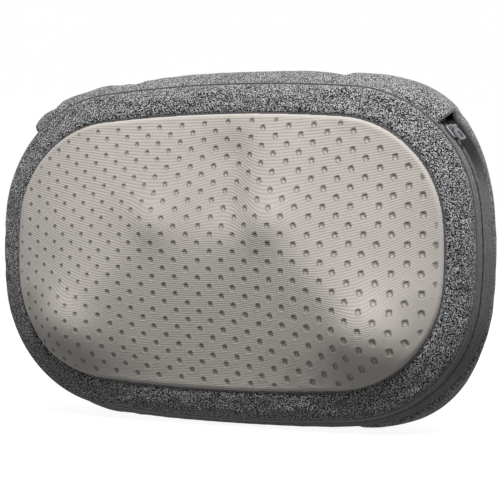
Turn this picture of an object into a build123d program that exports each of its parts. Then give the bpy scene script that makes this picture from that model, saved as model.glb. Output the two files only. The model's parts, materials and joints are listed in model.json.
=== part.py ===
from build123d import *
import os
from math import acos, asin, atan2, cos, degrees, hypot, pi, radians, sin, sqrt, tan

os.makedirs("parts", exist_ok=True)

# A pillow-shaped shiatsu massager standing on its lower edge. Millimetres, +Z up, the mesh front faces -Y.
# The origin is the middle of the flat resting face under the cushion.

# ---------------------------------------------------------------- driving dimensions
CENTRE_Z = 109.5            # height of the mesh panel's middle above the resting face
FABRIC_GAP = 0.4            # air between neighbouring soft pieces
CUT_SPAN = 400              # cuts reach past the whole cushion by this width
CUT_DEPTH = 60              # and by this depth
CUT_CLEAR = 5               # a cut starts this far outside what it cuts
OVERLAP = 0.5               # depth by which fused features reach into each other

# A cushion outline is (half width, half height, corner radius, side arc radius, crown arc radius).
PANEL = (143.5, 85.5, 69, 230, 950)
SEAM = (160, 104.5, 82, 250, 900)
REAR = (152, 111, 58, 600, 900)

PANEL_Y = -30               # where the mesh panel meets the heather border
SEAM_Y = -19                # seam between border and zip band
GIRTH_Y = 0                 # widest line of the cushion, where the zip band meets the rear cover
REAR_Y = 30                 # where the side wall starts to round into the back
BACK_Y = 43                 # flat back of the cushion
BAND_GROW = 6.5             # how far the girth stands out past the seam
BAND_SLOPE = BAND_GROW / (GIRTH_Y - SEAM_Y)
BACK_INSET = 10             # rounding of the side wall into the back

PANEL_WALL = 3
COVER_WALL = 4              # measured across the outline, about 2 square to the cloth
BAND_WALL = 3
REAR_WALL = 2.5
REAR_ACROSS = REAR_WALL + 0.5   # the rear wall measured across the outline
FOOT_CLEAR = 1.4            # height of the padding's flat foot above the resting face

COIL_FRONT_Y = -13
COIL_REAR_Y = -10.5
ZIP_END_ANGLE = 44          # direction of the zip's closed end from the corner arc's centre
SLIDER_ANGLE = 39

MODULE = 1.25
PRESSURE_ANGLE = radians(20)
TOOTH_SHARE = 0.42          # tooth thickness over pitch, the rest is backlash
ADDENDUM = 0.92 * MODULE
DEDENDUM = 1.25 * MODULE
FLANK_START = 0.01          # the involute starts this far outside its base circle
CARRIER_TEETH = 56
PINION_TEETH = 14
WHEEL_TEETH = 30
WORM_STARTS = 2
WORM_R = 5                  # pitch radius
WORM_TIP_R = 6
WORM_ROOT_R = 3.7
WORM_LENGTH = 24

CARRIER_R = CARRIER_TEETH * MODULE / 2
PINION_R = PINION_TEETH * MODULE / 2
WHEEL_R = WHEEL_TEETH * MODULE / 2
REDUCTION_X = WORM_R + WHEEL_R
CARRIER_X = REDUCTION_X + PINION_R + CARRIER_R
DRIVE_Z = CENTRE_Z - 14.5   # height of the carriers' axes
WORM_Y = 13

ARM_REACH = 29              # head axis to carrier axis, sideways and upward; the arms rest at 45 degrees
ORBIT_R = hypot(ARM_REACH, ARM_REACH)
HEAD_R = 24
HEAD_CLEAR = 2

PLATE_FRONT = -5            # front housing plate
PLATE_BACK = -2
TUB_BACK = 36
TUB_WALL = 2.5
TUB_FLOOR = TUB_BACK - TUB_WALL
HOUSING_INSET = 2           # housing outline inside the panel outline
RUN = 0.05                  # radial running clearance

CARRIER_BACK = -8
CARRIER_FRONT = -12
HUB_R = 9
SHAFT_R = 4
GEAR_FRONT = 0
GEAR_BACK = 6
PIN_R = 2.5
WHEEL_FRONT = 9
WHEEL_BACK = 17
MOTOR_R = 14
MOTOR_TOP = DRIVE_Z - 21
MOTOR_LENGTH = 40
MOTOR_SHAFT_R = 1.6
SCREW_R = 1.5
HOUSING_SCREWS = [(118, 50), (-118, 50), (118, -50), (-118, -50), (0, 72), (30, -72), (-30, -72)]


# ---------------------------------------------------------------- planes
def front_plane(y):
    """Sketch plane square to Y at the cushion's centre: local x is X, local y is Z, extrusions go forward."""
    return Plane(origin=(0, y, CENTRE_Z), x_dir=(1, 0, 0), z_dir=(0, -1, 0))


def drive_plane(x, y):
    """The same, centred on a drive axis."""
    return Plane(origin=(x, y, DRIVE_Z), x_dir=(1, 0, 0), z_dir=(0, -1, 0))


def level_plane(x, y, z):
    """Sketch plane square to Z."""
    return Plane(origin=(x, y, z), x_dir=(1, 0, 0), z_dir=(0, 0, 1))


# ---------------------------------------------------------------- cushion outlines
def grow(shape, amount):
    """The parallel outline, amount further out: every radius grows and the arcs keep their centres."""
    return tuple(value + amount for value in shape)


def corner_centre(shape):
    """Centre of the corner arc that is tangent inside both the side arc and the crown arc."""
    half_width, half_height, corner_r, side_r, crown_r = shape
    side_x = half_width - side_r
    crown_z = half_height - crown_r
    span = hypot(side_x, crown_z)
    to_side = side_r - corner_r
    to_crown = crown_r - corner_r
    along = (to_side**2 - to_crown**2 + span**2) / (2 * span)
    aside = sqrt(to_side**2 - along**2)
    unit_x = -side_x / span
    unit_z = crown_z / span
    return side_x + along * unit_x - aside * unit_z, along * unit_z + aside * unit_x


def corner_angles(shape):
    """Directions, in degrees, where the corner arc starts and ends."""
    half_width, half_height, corner_r, side_r, crown_r = shape
    x, z = corner_centre(shape)
    start = degrees(atan2(z, x - (half_width - side_r)))
    end = degrees(atan2(z - (half_height - crown_r), x))
    return start, end


def draw_outline(shape):
    """Crowned rounded rectangle of tangent arcs, drawn inside a BuildSketch."""
    half_width, half_height, corner_r, side_r, crown_r = shape
    start, end = corner_angles(shape)
    with BuildLine() as outline:
        CenterArc((half_width - side_r, 0), side_r, 0, start)
        CenterArc(corner_centre(shape), corner_r, start, end - start)
        CenterArc((0, half_height - crown_r), crown_r, end, 90 - end)
        mirror(about=Plane.YZ)
        mirror(about=Plane.XZ)
    make_face(outline.edges())


def outline_sketch(y, shape):
    """An outline filled at depth y."""
    with BuildSketch(front_plane(y)) as section:
        draw_outline(shape)
    return section.sketch


def loft_outlines(sections, mode=Mode.ADD):
    """Straight-walled body through (depth, outline) sections, inside a BuildPart."""
    loft([outline_sketch(y, shape) for y, shape in sections], ruled=True, mode=mode)


def band_outline(y):
    """Outline of the sloping zip band at depth y."""
    return grow(SEAM, (y - SEAM_Y) * BAND_SLOPE)


def cut_below(z):
    """Take off what reaches lower than z, inside a BuildPart."""
    with BuildSketch(level_plane(0, 0, z)) as below:
        Rectangle(CUT_SPAN, CUT_SPAN)
    extrude(below.sketch, amount=-CUT_DEPTH, mode=Mode.SUBTRACT)


def extrude_gusset_zone(mode):
    """The zone over the top between the two ends of the zip, cut square to the corner arcs."""
    x, z = corner_centre(SEAM)
    reach_x = x + CUT_SPAN / 2 * cos(radians(ZIP_END_ANGLE))
    reach_z = z + CUT_SPAN / 2 * sin(radians(ZIP_END_ANGLE))
    with BuildSketch(front_plane(GIRTH_Y + CUT_CLEAR)) as zone:
        Polygon((x, z), (reach_x, reach_z), (-reach_x, reach_z), (-x, z), align=None)
    extrude(zone.sketch, amount=CUT_DEPTH, mode=mode)


# ---------------------------------------------------------------- gears
def involute(angle):
    return tan(angle) - angle


def polar(radius, angle):
    return radius * cos(angle), radius * sin(angle)


def draw_gear(teeth, phase):
    """Involute gear outline with thinned teeth, one tooth centred on phase (degrees), inside a BuildSketch."""
    pitch_r = teeth * MODULE / 2
    base_r = pitch_r * cos(PRESSURE_ANGLE)
    tip_r = pitch_r + ADDENDUM
    root_r = pitch_r - DEDENDUM
    flank_r = max(base_r, root_r) + FLANK_START
    pitch_half = TOOTH_SHARE * pi / teeth

    def half_angle(radius):
        return pitch_half + involute(PRESSURE_ANGLE) - involute(acos(base_r / radius))

    middle_r = (flank_r + tip_r) / 2
    with BuildLine() as outline:
        for tooth in range(teeth):
            centre = radians(phase) + 2 * pi * tooth / teeth
            foot = half_angle(flank_r)
            next_foot = centre + 2 * pi / teeth - foot
            rise = [polar(r, centre - half_angle(r)) for r in (flank_r, middle_r, tip_r)]
            fall = [polar(r, centre + half_angle(r)) for r in (tip_r, middle_r, flank_r)]
            Line(polar(root_r, centre - foot), rise[0])
            ThreePointArc(*rise)
            Line(rise[2], fall[0])
            ThreePointArc(*fall)
            Line(fall[2], polar(root_r, centre + foot))
            Line(polar(root_r, centre + foot), polar(root_r, next_foot))
    make_face(outline.edges())


def draw_worm_section():
    """Section square to the worm's axis: one lobe per start, from the thread's trapezoid in an axial plane."""
    lead = WORM_STARTS * pi * MODULE
    pitch_width = TOOTH_SHARE * pi * MODULE

    def half_angle(radius):
        width = pitch_width - 2 * (radius - WORM_R) * tan(PRESSURE_ANGLE)
        return pi * width / lead

    with BuildLine() as outline:
        for start in range(WORM_STARTS):
            centre = pi / 2 + 2 * pi * start / WORM_STARTS
            rise = [polar(r, centre - half_angle(r)) for r in (WORM_ROOT_R, WORM_R, WORM_TIP_R)]
            fall = [polar(r, centre + half_angle(r)) for r in (WORM_TIP_R, WORM_R, WORM_ROOT_R)]
            next_root = polar(WORM_ROOT_R, centre + 2 * pi / WORM_STARTS - half_angle(WORM_ROOT_R))
            gap_middle = polar(WORM_ROOT_R, centre + pi / WORM_STARTS)
            ThreePointArc(*rise)
            ThreePointArc(rise[2], polar(WORM_TIP_R, centre), fall[0])
            ThreePointArc(*fall)
            ThreePointArc(fall[2], gap_middle, next_root)
    make_face(outline.edges())


def ring(plane, outer_r, inner_r, length):
    """Tube forward from plane, made inside a BuildPart."""
    with BuildSketch(plane) as section:
        Circle(outer_r)
        Circle(inner_r, mode=Mode.SUBTRACT)
    extrude(section.sketch, amount=length)


def rod(plane, radius, length, mode=Mode.ADD):
    """Solid cylinder forward from plane, made inside a BuildPart."""
    with BuildSketch(plane) as section:
        Circle(radius)
    extrude(section.sketch, amount=length, mode=mode)


def finish(builder, name):
    """Label the piece and write it."""
    builder.part.label = name
    export_step(builder.part, f"parts/{name}.step")


# ---------------------------------------------------------------- mesh panel and border
PANEL_DOME = [(PANEL_Y, 0), (-40, 9), (-46, 30)]
PANEL_HOLLOW = [(PANEL_Y, 0), (-38, 8), (-43, 29)]
with BuildPart() as mesh_panel:
    loft_outlines([(y, grow(PANEL, -inset)) for y, inset in PANEL_DOME])
    loft_outlines([(y, grow(PANEL, -inset - PANEL_WALL)) for y, inset in PANEL_HOLLOW], Mode.SUBTRACT)
finish(mesh_panel, "mesh_panel")

with BuildPart() as front_cover:
    loft_outlines([(PANEL_Y, PANEL), (SEAM_Y, SEAM)])
    loft_outlines([(PANEL_Y, grow(PANEL, -COVER_WALL)), (SEAM_Y, grow(SEAM, -COVER_WALL))], Mode.SUBTRACT)
finish(front_cover, "front_cover")


# ---------------------------------------------------------------- zip band and top gusset
def loft_band(front_y, rear_y):
    """Ring of the sloping band between two depths, inside a BuildPart."""
    loft_outlines([(y, band_outline(y)) for y in (front_y, rear_y)])
    loft_outlines([(y, grow(band_outline(y), -BAND_WALL)) for y in (front_y, rear_y)], Mode.SUBTRACT)


ZIP_PIECES = [
    ("zip_tape_front", SEAM_Y, COIL_FRONT_Y),
    ("zip_coil", COIL_FRONT_Y, COIL_REAR_Y),
    ("zip_tape_rear", COIL_REAR_Y, GIRTH_Y),
]
for name, front_y, rear_y in ZIP_PIECES:
    with BuildPart() as zip_piece:
        loft_band(front_y, rear_y)
        extrude_gusset_zone(Mode.SUBTRACT)
        cut_below(0)
    finish(zip_piece, name)

with BuildPart() as top_gusset:
    loft_band(SEAM_Y, GIRTH_Y)
    extrude_gusset_zone(Mode.INTERSECT)
finish(top_gusset, "top_gusset")

# The slider lies on the coil by the zip's closed end. Its plane: x along the track towards the open end,
# y across the tapes, z square to them.
corner_x, corner_z = corner_centre(SEAM)
slider_y = (COIL_FRONT_Y + COIL_REAR_Y) / 2
slider_r = band_outline(slider_y)[2]
outward = Vector(cos(radians(SLIDER_ANGLE)), 0, sin(radians(SLIDER_ANGLE)))
slider_normal = (outward - Vector(0, BAND_SLOPE, 0)).normalized()
slider_along = Vector(sin(radians(SLIDER_ANGLE)), 0, -cos(radians(SLIDER_ANGLE)))
slider_centre = Vector(corner_x, slider_y, corner_z + CENTRE_Z) + outward * slider_r
SLIDER_SIZE = (9, 7.6)
SLIDER_LIFT = 0.4
SLIDER_TOP = 2
LUG_R = 1.2
LUG_THICK = 0.8
LUG_FOOT = 1.8              # from the hinge down into the slider's top
LUG_GAP = 3.2
PULL_PIN_R = 0.5
PULL_PIN_LENGTH = 4
PULL_AXIS_ALONG = -1.5
PULL_AXIS_HEIGHT = 3.3
PULL_EYE_R = 1.2
PULL_THICK = 1.2
PULL_SIZE = (8, 6)
PULL_ALONG = 4.2            # middle of the pull's frame from the slider's middle
PULL_WINDOW = (4.6, 3.2)
PULL_STEM = (3.4, 2.8)


def slider_plane(along, height):
    """Plane over the slider, along the track from its middle and height above the tapes."""
    origin = slider_centre + slider_along * along + slider_normal * height
    return Plane(origin=origin, x_dir=slider_along, z_dir=slider_normal)


def pull_axis_plane(across):
    """Plane square to the pull's hinge, across the tapes from the slider's middle."""
    base = slider_plane(PULL_AXIS_ALONG, PULL_AXIS_HEIGHT)
    return Plane(origin=base.origin + base.y_dir * across, x_dir=base.x_dir, z_dir=base.y_dir)


with BuildPart() as zip_slider:
    with BuildSketch(slider_plane(0, SLIDER_LIFT)):
        RectangleRounded(*SLIDER_SIZE, 1.6)
    extrude(amount=SLIDER_TOP - SLIDER_LIFT)
    fillet(zip_slider.faces().sort_by(Axis((0, 0, 0), slider_normal))[-1].edges(), 0.5)
    for across in (-LUG_GAP / 2 - LUG_THICK, LUG_GAP / 2):
        with BuildSketch(pull_axis_plane(across)):
            Circle(LUG_R)
            with Locations((0, LUG_FOOT / 2)):
                Rectangle(2 * LUG_R, LUG_FOOT)
        extrude(amount=LUG_THICK)
    rod(pull_axis_plane(-PULL_PIN_LENGTH / 2), PULL_PIN_R, PULL_PIN_LENGTH)
finish(zip_slider, "zip_slider")

with BuildPart() as zip_pull:
    rod(pull_axis_plane(-PULL_STEM[1] / 2), PULL_EYE_R, PULL_STEM[1])
    with BuildSketch(slider_plane(PULL_ALONG, PULL_AXIS_HEIGHT - PULL_THICK / 2)):
        RectangleRounded(*PULL_SIZE, 1.4)
        with Locations((0.4, 0)):
            RectangleRounded(*PULL_WINDOW, 0.7, mode=Mode.SUBTRACT)
        with Locations((OVERLAP - (PULL_SIZE[0] + PULL_STEM[0]) / 2, 0)):
            Rectangle(*PULL_STEM)
    extrude(amount=PULL_THICK)
    rod(pull_axis_plane(-PULL_SIZE[1] / 2), PULL_PIN_R + RUN, PULL_SIZE[1], Mode.SUBTRACT)
finish(zip_pull, "zip_pull")

# ---------------------------------------------------------------- rear cover, strap and paddings
# The control plate sits in the sloping left wall. Its plane: x is up, z points out of the wall.
wall_run = REAR[0] - band_outline(GIRTH_Y)[0]
wall_length = hypot(wall_run, REAR_Y)
control_normal = Vector(-REAR_Y / wall_length, -wall_run / wall_length, 0)
CONTROL_X = -(REAR[0] + band_outline(GIRTH_Y)[0]) / 2
CONTROL_Y = REAR_Y / 2
PLATE_SIZE = (48, 19)
POD_SIZE = (44, 15)
POD_DEPTH = 13
POD_CLEAR = 2               # room behind the pod
OPENING_CLEAR = 0.3
POD_WALL = 1.5
PLATE_PROUD = 1.8
BUTTON_R = 5
BUTTON_TRAVEL = 1.2
BUTTON_UP = 10
INLET_DOWN = -11
BARREL_R = 2.85
INLET_PIN_R = 1.05


def control_plane(depth, up=0):
    """Plane in the left wall, depth inward from the cloth (negative is proud of it)."""
    origin = Vector(CONTROL_X, CONTROL_Y, CENTRE_Z + up) - control_normal * depth
    return Plane(origin=origin, x_dir=(0, 0, 1), z_dir=control_normal)


def cut_control_opening(clear):
    """Opening for the control pod, inside a BuildPart."""
    with BuildSketch(control_plane(POD_DEPTH + POD_CLEAR)) as opening:
        RectangleRounded(POD_SIZE[0] + 2 * clear, POD_SIZE[1] + 2 * clear, 4)
    extrude(opening.sketch, amount=POD_DEPTH + POD_CLEAR + 2 * CUT_CLEAR, mode=Mode.SUBTRACT)


with BuildPart() as rear_cover:
    loft_outlines([(GIRTH_Y, band_outline(GIRTH_Y)), (REAR_Y, REAR), (BACK_Y, grow(REAR, -BACK_INSET))])
    hollow = [
        (GIRTH_Y, band_outline(GIRTH_Y)),
        (REAR_Y, REAR),
        (BACK_Y - REAR_WALL, grow(REAR, -BACK_INSET + 1)),
    ]
    loft_outlines([(y, grow(shape, -REAR_ACROSS)) for y, shape in hollow], Mode.SUBTRACT)
    cut_control_opening(OPENING_CLEAR)
    cut_below(0)
finish(rear_cover, "rear_cover")

PAD_INSET = REAR_ACROSS + FABRIC_GAP
housing_shape = grow(PANEL, -HOUSING_INSET)
with BuildPart() as rear_padding:
    padding_sections = [
        (PLATE_FRONT, grow(band_outline(PLATE_FRONT), -BAND_WALL - FABRIC_GAP)),
        (GIRTH_Y, grow(band_outline(GIRTH_Y), -PAD_INSET)),
        (REAR_Y, grow(REAR, -PAD_INSET)),
        (BACK_Y - REAR_WALL - FABRIC_GAP, grow(REAR, -BACK_INSET - PAD_INSET + 1)),
    ]
    loft_outlines(padding_sections)
    with BuildSketch(front_plane(TUB_BACK + FABRIC_GAP)):
        draw_outline(grow(housing_shape, FABRIC_GAP))
    extrude(amount=CUT_DEPTH, mode=Mode.SUBTRACT)
    cut_control_opening(FABRIC_GAP)
    cut_below(FOOT_CLEAR)
finish(rear_padding, "rear_padding")

with BuildPart() as foam_frame:
    cover_gap = COVER_WALL + 2 * FABRIC_GAP
    foam_sections = [
        (PANEL_Y + FABRIC_GAP, grow(PANEL, -cover_gap)),
        (SEAM_Y + FABRIC_GAP, grow(SEAM, -cover_gap)),
        (PLATE_FRONT - FABRIC_GAP, grow(band_outline(PLATE_FRONT), -BAND_WALL - FABRIC_GAP)),
    ]
    loft_outlines(foam_sections)
    with BuildSketch(drive_plane(0, PLATE_FRONT)):
        SlotCenterToCenter(2 * CARRIER_X, 2 * (ORBIT_R + HEAD_R + HEAD_CLEAR))
    extrude(amount=CUT_DEPTH, mode=Mode.SUBTRACT)
finish(foam_frame, "foam_frame")

PAD_BACK = -37.2
PAD_THICK = 4.6
PAD_BACK_INSET = 14
PAD_FRONT_INSET = 30
with BuildPart() as head_pad:
    pad_sections = [
        (PAD_BACK, grow(PANEL, -PAD_BACK_INSET)),
        (PAD_BACK - PAD_THICK, grow(PANEL, -PAD_FRONT_INSET)),
    ]
    loft_outlines(pad_sections)
finish(head_pad, "head_pad")

STRAP_WIDTH = 38
STRAP_HALF = 134
STRAP_THICK = 2
TAB_LENGTH = 24
TAB_WIDTH = STRAP_WIDTH + 6
TAB_THICK = 1.5
with BuildPart() as headrest_strap:
    with BuildSketch(front_plane(BACK_Y + STRAP_THICK)):
        Rectangle(2 * STRAP_HALF, STRAP_WIDTH)
    extrude(amount=STRAP_THICK)
finish(headrest_strap, "headrest_strap")

with BuildPart() as strap_tabs:
    with BuildSketch(front_plane(BACK_Y + STRAP_THICK + TAB_THICK)):
        for side in (-1, 1):
            with Locations((side * (STRAP_HALF - TAB_LENGTH / 2), 0)):
                RectangleRounded(TAB_LENGTH, TAB_WIDTH, 3)
    extrude(amount=TAB_THICK)
finish(strap_tabs, "strap_tabs")

# ---------------------------------------------------------------- housing
BUSH_R = 12
BUSH_FLANGE = 3
BUSH_FLANGE_THICK = 1.5
BEARING_R = 8
BEARING_SEAT_WALL = 3
BEARING_FRONT = 27
PIN_SEAT_R = 5
PIN_SEAT_FRONT = 20.4
BOSS_R = 4
BOSS_SPLIT = 20             # where the two halves' screw bosses meet
BOSS_GAP = 0.2
REAR_BOSS_R = 4.5
BEARING_Z = DRIVE_Z + 14
BEARING_LENGTH = 5
BEARING_OUTER_R = 4
BRIDGE_WIDTH = 16           # wall that carries the worm's upper bearing
BRIDGE_FRONT = 5
SCREW_HEAD_R = 3
SCREW_HEAD = 1.8
SCREW_RECESS = 2.4
SCREW_LENGTH = 26
SOCKET_R = 1.1
SOCKET_DEPTH = 1
with BuildPart() as front_housing:
    with BuildSketch(front_plane(PLATE_BACK)):
        draw_outline(housing_shape)
        with Locations((-CARRIER_X, DRIVE_Z - CENTRE_Z), (CARRIER_X, DRIVE_Z - CENTRE_Z)):
            Circle(BUSH_R, mode=Mode.SUBTRACT)
        with Locations((-REDUCTION_X, DRIVE_Z - CENTRE_Z), (REDUCTION_X, DRIVE_Z - CENTRE_Z)):
            Circle(PIN_R, mode=Mode.SUBTRACT)
    extrude(amount=PLATE_BACK - PLATE_FRONT)
    with BuildSketch(front_plane(BOSS_SPLIT)):
        with Locations(*HOUSING_SCREWS):
            Circle(BOSS_R)
            Circle(SCREW_R, mode=Mode.SUBTRACT)
    extrude(amount=BOSS_SPLIT - PLATE_BACK)
finish(front_housing, "front_housing")

with BuildPart() as rear_housing:
    with BuildSketch(front_plane(TUB_BACK)):
        draw_outline(housing_shape)
    extrude(amount=TUB_BACK - PLATE_BACK)
    with BuildSketch(front_plane(TUB_FLOOR)):
        draw_outline(grow(housing_shape, -TUB_WALL))
    extrude(amount=TUB_FLOOR - PLATE_BACK, mode=Mode.SUBTRACT)
    with BuildSketch(front_plane(TUB_FLOOR)):
        with Locations(*HOUSING_SCREWS):
            Circle(REAR_BOSS_R)
    extrude(amount=TUB_FLOOR - BOSS_SPLIT - BOSS_GAP)
    for x in (-CARRIER_X, CARRIER_X):
        rod(drive_plane(x, TUB_FLOOR), BEARING_R + BEARING_SEAT_WALL, TUB_FLOOR - BEARING_FRONT)
        rod(drive_plane(x, TUB_FLOOR), BEARING_R, TUB_FLOOR - BEARING_FRONT, Mode.SUBTRACT)
    for x in (-REDUCTION_X, REDUCTION_X):
        rod(drive_plane(x, TUB_FLOOR), PIN_SEAT_R, TUB_FLOOR - PIN_SEAT_FRONT)
        rod(drive_plane(x, TUB_FLOOR), PIN_R, TUB_FLOOR - PIN_SEAT_FRONT, Mode.SUBTRACT)
    with BuildSketch(level_plane(0, (TUB_FLOOR + BRIDGE_FRONT) / 2, BEARING_Z)):
        Rectangle(BRIDGE_WIDTH, TUB_FLOOR - BRIDGE_FRONT)
    extrude(amount=BEARING_LENGTH)
    rod(level_plane(0, WORM_Y, BEARING_Z), BEARING_OUTER_R, BEARING_LENGTH, Mode.SUBTRACT)
    with BuildSketch(front_plane(TUB_BACK)):
        with Locations(*HOUSING_SCREWS):
            Circle(SCREW_HEAD_R + 0.2)
    extrude(amount=SCREW_RECESS, mode=Mode.SUBTRACT)
    with BuildSketch(front_plane(TUB_BACK)):
        with Locations(*HOUSING_SCREWS):
            Circle(SCREW_R + 0.2)
    extrude(amount=CUT_DEPTH / 2, mode=Mode.SUBTRACT)
finish(rear_housing, "rear_housing")

with BuildPart() as housing_screws:
    with BuildSketch(front_plane(TUB_BACK - 0.4)):
        with Locations(*HOUSING_SCREWS):
            Circle(SCREW_HEAD_R)
    extrude(amount=SCREW_HEAD)
    with BuildSketch(front_plane(TUB_BACK - 0.4)):
        with Locations(*HOUSING_SCREWS):
            Circle(SOCKET_R)
    extrude(amount=SOCKET_DEPTH, mode=Mode.SUBTRACT)
    with BuildSketch(front_plane(TUB_BACK - 2)):
        with Locations(*HOUSING_SCREWS):
            Circle(SCREW_R)
    extrude(amount=SCREW_LENGTH)
finish(housing_screws, "housing_screws")

# ---------------------------------------------------------------- carriers, heads and carrier gears
HIGH_HEAD = 24
LOW_HEAD = 21
HEAD_HOLLOW_R = 18
HEAD_HOLLOW = 10
HEAD_BOSS_R = 5
HEAD_BORE = 12
HEAD_SKIRT = 6
HEAD_TAPER = 1              # the skirt is narrower by this at its foot
ARM_WIDTH = 30
ARM_ANGLE = 45
CARRIER_DISC_R = 20
SHAFT_REACH = 8             # the shaft ends this far in front of the carrier gear's front face
SHAFT_BACK = TUB_FLOOR - 0.3
GEAR_WINDOWS = 6
GEAR_WINDOW_R = 6
GEAR_WINDOW_PITCH_R = 21
GEAR_HUB_R = 10
GEAR_HUB_LENGTH = 6
HEAD_SCREW_LENGTH = 14
HEAD_SCREW_CAP_R = 2.8
HEAD_SCREW_CAP = 1.6
for side, side_name in ((-1, "left"), (1, "right")):
    x = side * CARRIER_X
    upper = (-side * ARM_REACH, ARM_REACH)
    lower = (side * ARM_REACH, -ARM_REACH)

    with BuildPart() as carrier:
        with BuildSketch(drive_plane(x, CARRIER_BACK)):
            SlotCenterToCenter(2 * ORBIT_R, ARM_WIDTH, rotation=-side * ARM_ANGLE)
            Circle(CARRIER_DISC_R)
        extrude(amount=CARRIER_BACK - CARRIER_FRONT)
        rod(drive_plane(x, GEAR_FRONT), HUB_R, GEAR_FRONT - CARRIER_BACK)
        rod(drive_plane(x, GEAR_FRONT), SHAFT_R, SHAFT_REACH, Mode.SUBTRACT)
        with BuildSketch(drive_plane(x, CARRIER_BACK)):
            with Locations(upper, lower):
                Circle(SCREW_R)
        extrude(amount=CUT_CLEAR, mode=Mode.SUBTRACT)
    finish(carrier, f"carrier_{side_name}")

    with BuildPart() as carrier_shaft:
        rod(drive_plane(x, SHAFT_BACK), SHAFT_R, SHAFT_BACK - GEAR_FRONT + SHAFT_REACH)
    finish(carrier_shaft, f"carrier_shaft_{side_name}")

    with BuildPart() as carrier_bush:
        ring(drive_plane(x, PLATE_BACK), BUSH_R, HUB_R + RUN, PLATE_BACK - PLATE_FRONT)
        ring(drive_plane(x, PLATE_FRONT), BUSH_R + BUSH_FLANGE, HUB_R + RUN, BUSH_FLANGE_THICK)
    finish(carrier_bush, f"carrier_bush_{side_name}")

    with BuildPart() as shaft_bearing:
        ring(drive_plane(x, TUB_FLOOR), BEARING_R, SHAFT_R + RUN, TUB_FLOOR - BEARING_FRONT)
    finish(shaft_bearing, f"shaft_bearing_{side_name}")

    with BuildPart() as carrier_gear:
        with BuildSketch(drive_plane(x, GEAR_BACK)):
            draw_gear(CARRIER_TEETH, 0)
            Circle(SHAFT_R, mode=Mode.SUBTRACT)
            with PolarLocations(GEAR_WINDOW_PITCH_R, GEAR_WINDOWS):
                Circle(GEAR_WINDOW_R, mode=Mode.SUBTRACT)
        extrude(amount=GEAR_BACK - GEAR_FRONT)
        ring(drive_plane(x, GEAR_BACK + GEAR_HUB_LENGTH), GEAR_HUB_R, SHAFT_R, GEAR_HUB_LENGTH)
    finish(carrier_gear, f"carrier_gear_{side_name}")

    for level, place, height in (("upper", upper, LOW_HEAD), ("lower", lower, HIGH_HEAD)):
        head_x = x + place[0]
        head_z = DRIVE_Z + place[1]
        rise = height - HEAD_SKIRT
        dome_r = (HEAD_R**2 + rise**2) / (2 * rise)
        half_sweep = asin(HEAD_R / dome_r) / 2
        crown_middle = (dome_r * sin(half_sweep), dome_r * (1 - cos(half_sweep)) - height)
        profile_plane = level_plane(head_x, CARRIER_FRONT, head_z)
        base_plane = Plane(origin=(head_x, CARRIER_FRONT, head_z), x_dir=(1, 0, 0), z_dir=(0, -1, 0))
        with BuildPart() as massage_head:
            with BuildSketch(profile_plane):
                with BuildLine():
                    side_line = Line((HEAD_R - HEAD_TAPER, 0), (HEAD_R, -HEAD_SKIRT))
                    crown = ThreePointArc(side_line @ 1, crown_middle, (0, -height))
                    Line(crown @ 1, (0, 0))
                    Line((0, 0), side_line @ 0)
                make_face()
            revolve(axis=Axis(profile_plane.origin, profile_plane.y_dir))
            with BuildSketch(base_plane):
                Circle(HEAD_HOLLOW_R)
                Circle(HEAD_BOSS_R, mode=Mode.SUBTRACT)
            extrude(amount=HEAD_HOLLOW, mode=Mode.SUBTRACT)
            rod(base_plane, SCREW_R, HEAD_BORE, Mode.SUBTRACT)
        finish(massage_head, f"massage_head_{level}_{side_name}")

    with BuildPart() as head_screws:
        with BuildSketch(drive_plane(x, CARRIER_BACK)):
            with Locations(upper, lower):
                Circle(SCREW_R)
        extrude(amount=HEAD_SCREW_LENGTH)
        with BuildSketch(drive_plane(x, CARRIER_BACK + HEAD_SCREW_CAP)):
            with Locations(upper, lower):
                Circle(HEAD_SCREW_CAP_R)
        extrude(amount=HEAD_SCREW_CAP)
    finish(head_screws, f"head_screws_{side_name}")

# ---------------------------------------------------------------- reduction gears and worm
lead_tan = WORM_STARTS * MODULE / (2 * WORM_R)
NECK_R = 7
REDUCTION_HUB_R = 6
REDUCTION_HUB_BACK = 20
wheel_width = WHEEL_BACK - WHEEL_FRONT
wheel_twist = degrees(wheel_width * lead_tan / WHEEL_R)
for side, side_name in ((-1, "left"), (1, "right")):
    x = side * REDUCTION_X
    with BuildSketch(drive_plane(x, WHEEL_FRONT)) as wheel_section:
        draw_gear(WHEEL_TEETH, wheel_twist / 2)
    with BuildPart() as reduction_gear:
        wheel_face = wheel_section.sketch.faces()[0]
        add(Solid.extrude_linear_with_rotation(
            wheel_face, (x, WHEEL_FRONT, DRIVE_Z), (0, wheel_width, 0), wheel_twist))
        with BuildSketch(drive_plane(x, GEAR_BACK + OVERLAP)):
            draw_gear(PINION_TEETH, 180 / PINION_TEETH)
        extrude(amount=GEAR_BACK - GEAR_FRONT + 2 * OVERLAP)
        rod(drive_plane(x, WHEEL_FRONT + OVERLAP), NECK_R, WHEEL_FRONT - GEAR_BACK)
        rod(drive_plane(x, REDUCTION_HUB_BACK), REDUCTION_HUB_R, REDUCTION_HUB_BACK - WHEEL_BACK + OVERLAP)
        rod(drive_plane(x, REDUCTION_HUB_BACK + CUT_CLEAR), PIN_R + RUN, CUT_DEPTH, Mode.SUBTRACT)
    finish(reduction_gear, f"reduction_gear_{side_name}")

    with BuildPart() as gear_pin:
        rod(drive_plane(x, TUB_FLOOR), PIN_R, TUB_FLOOR - PLATE_FRONT)
    finish(gear_pin, f"gear_pin_{side_name}")

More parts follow.
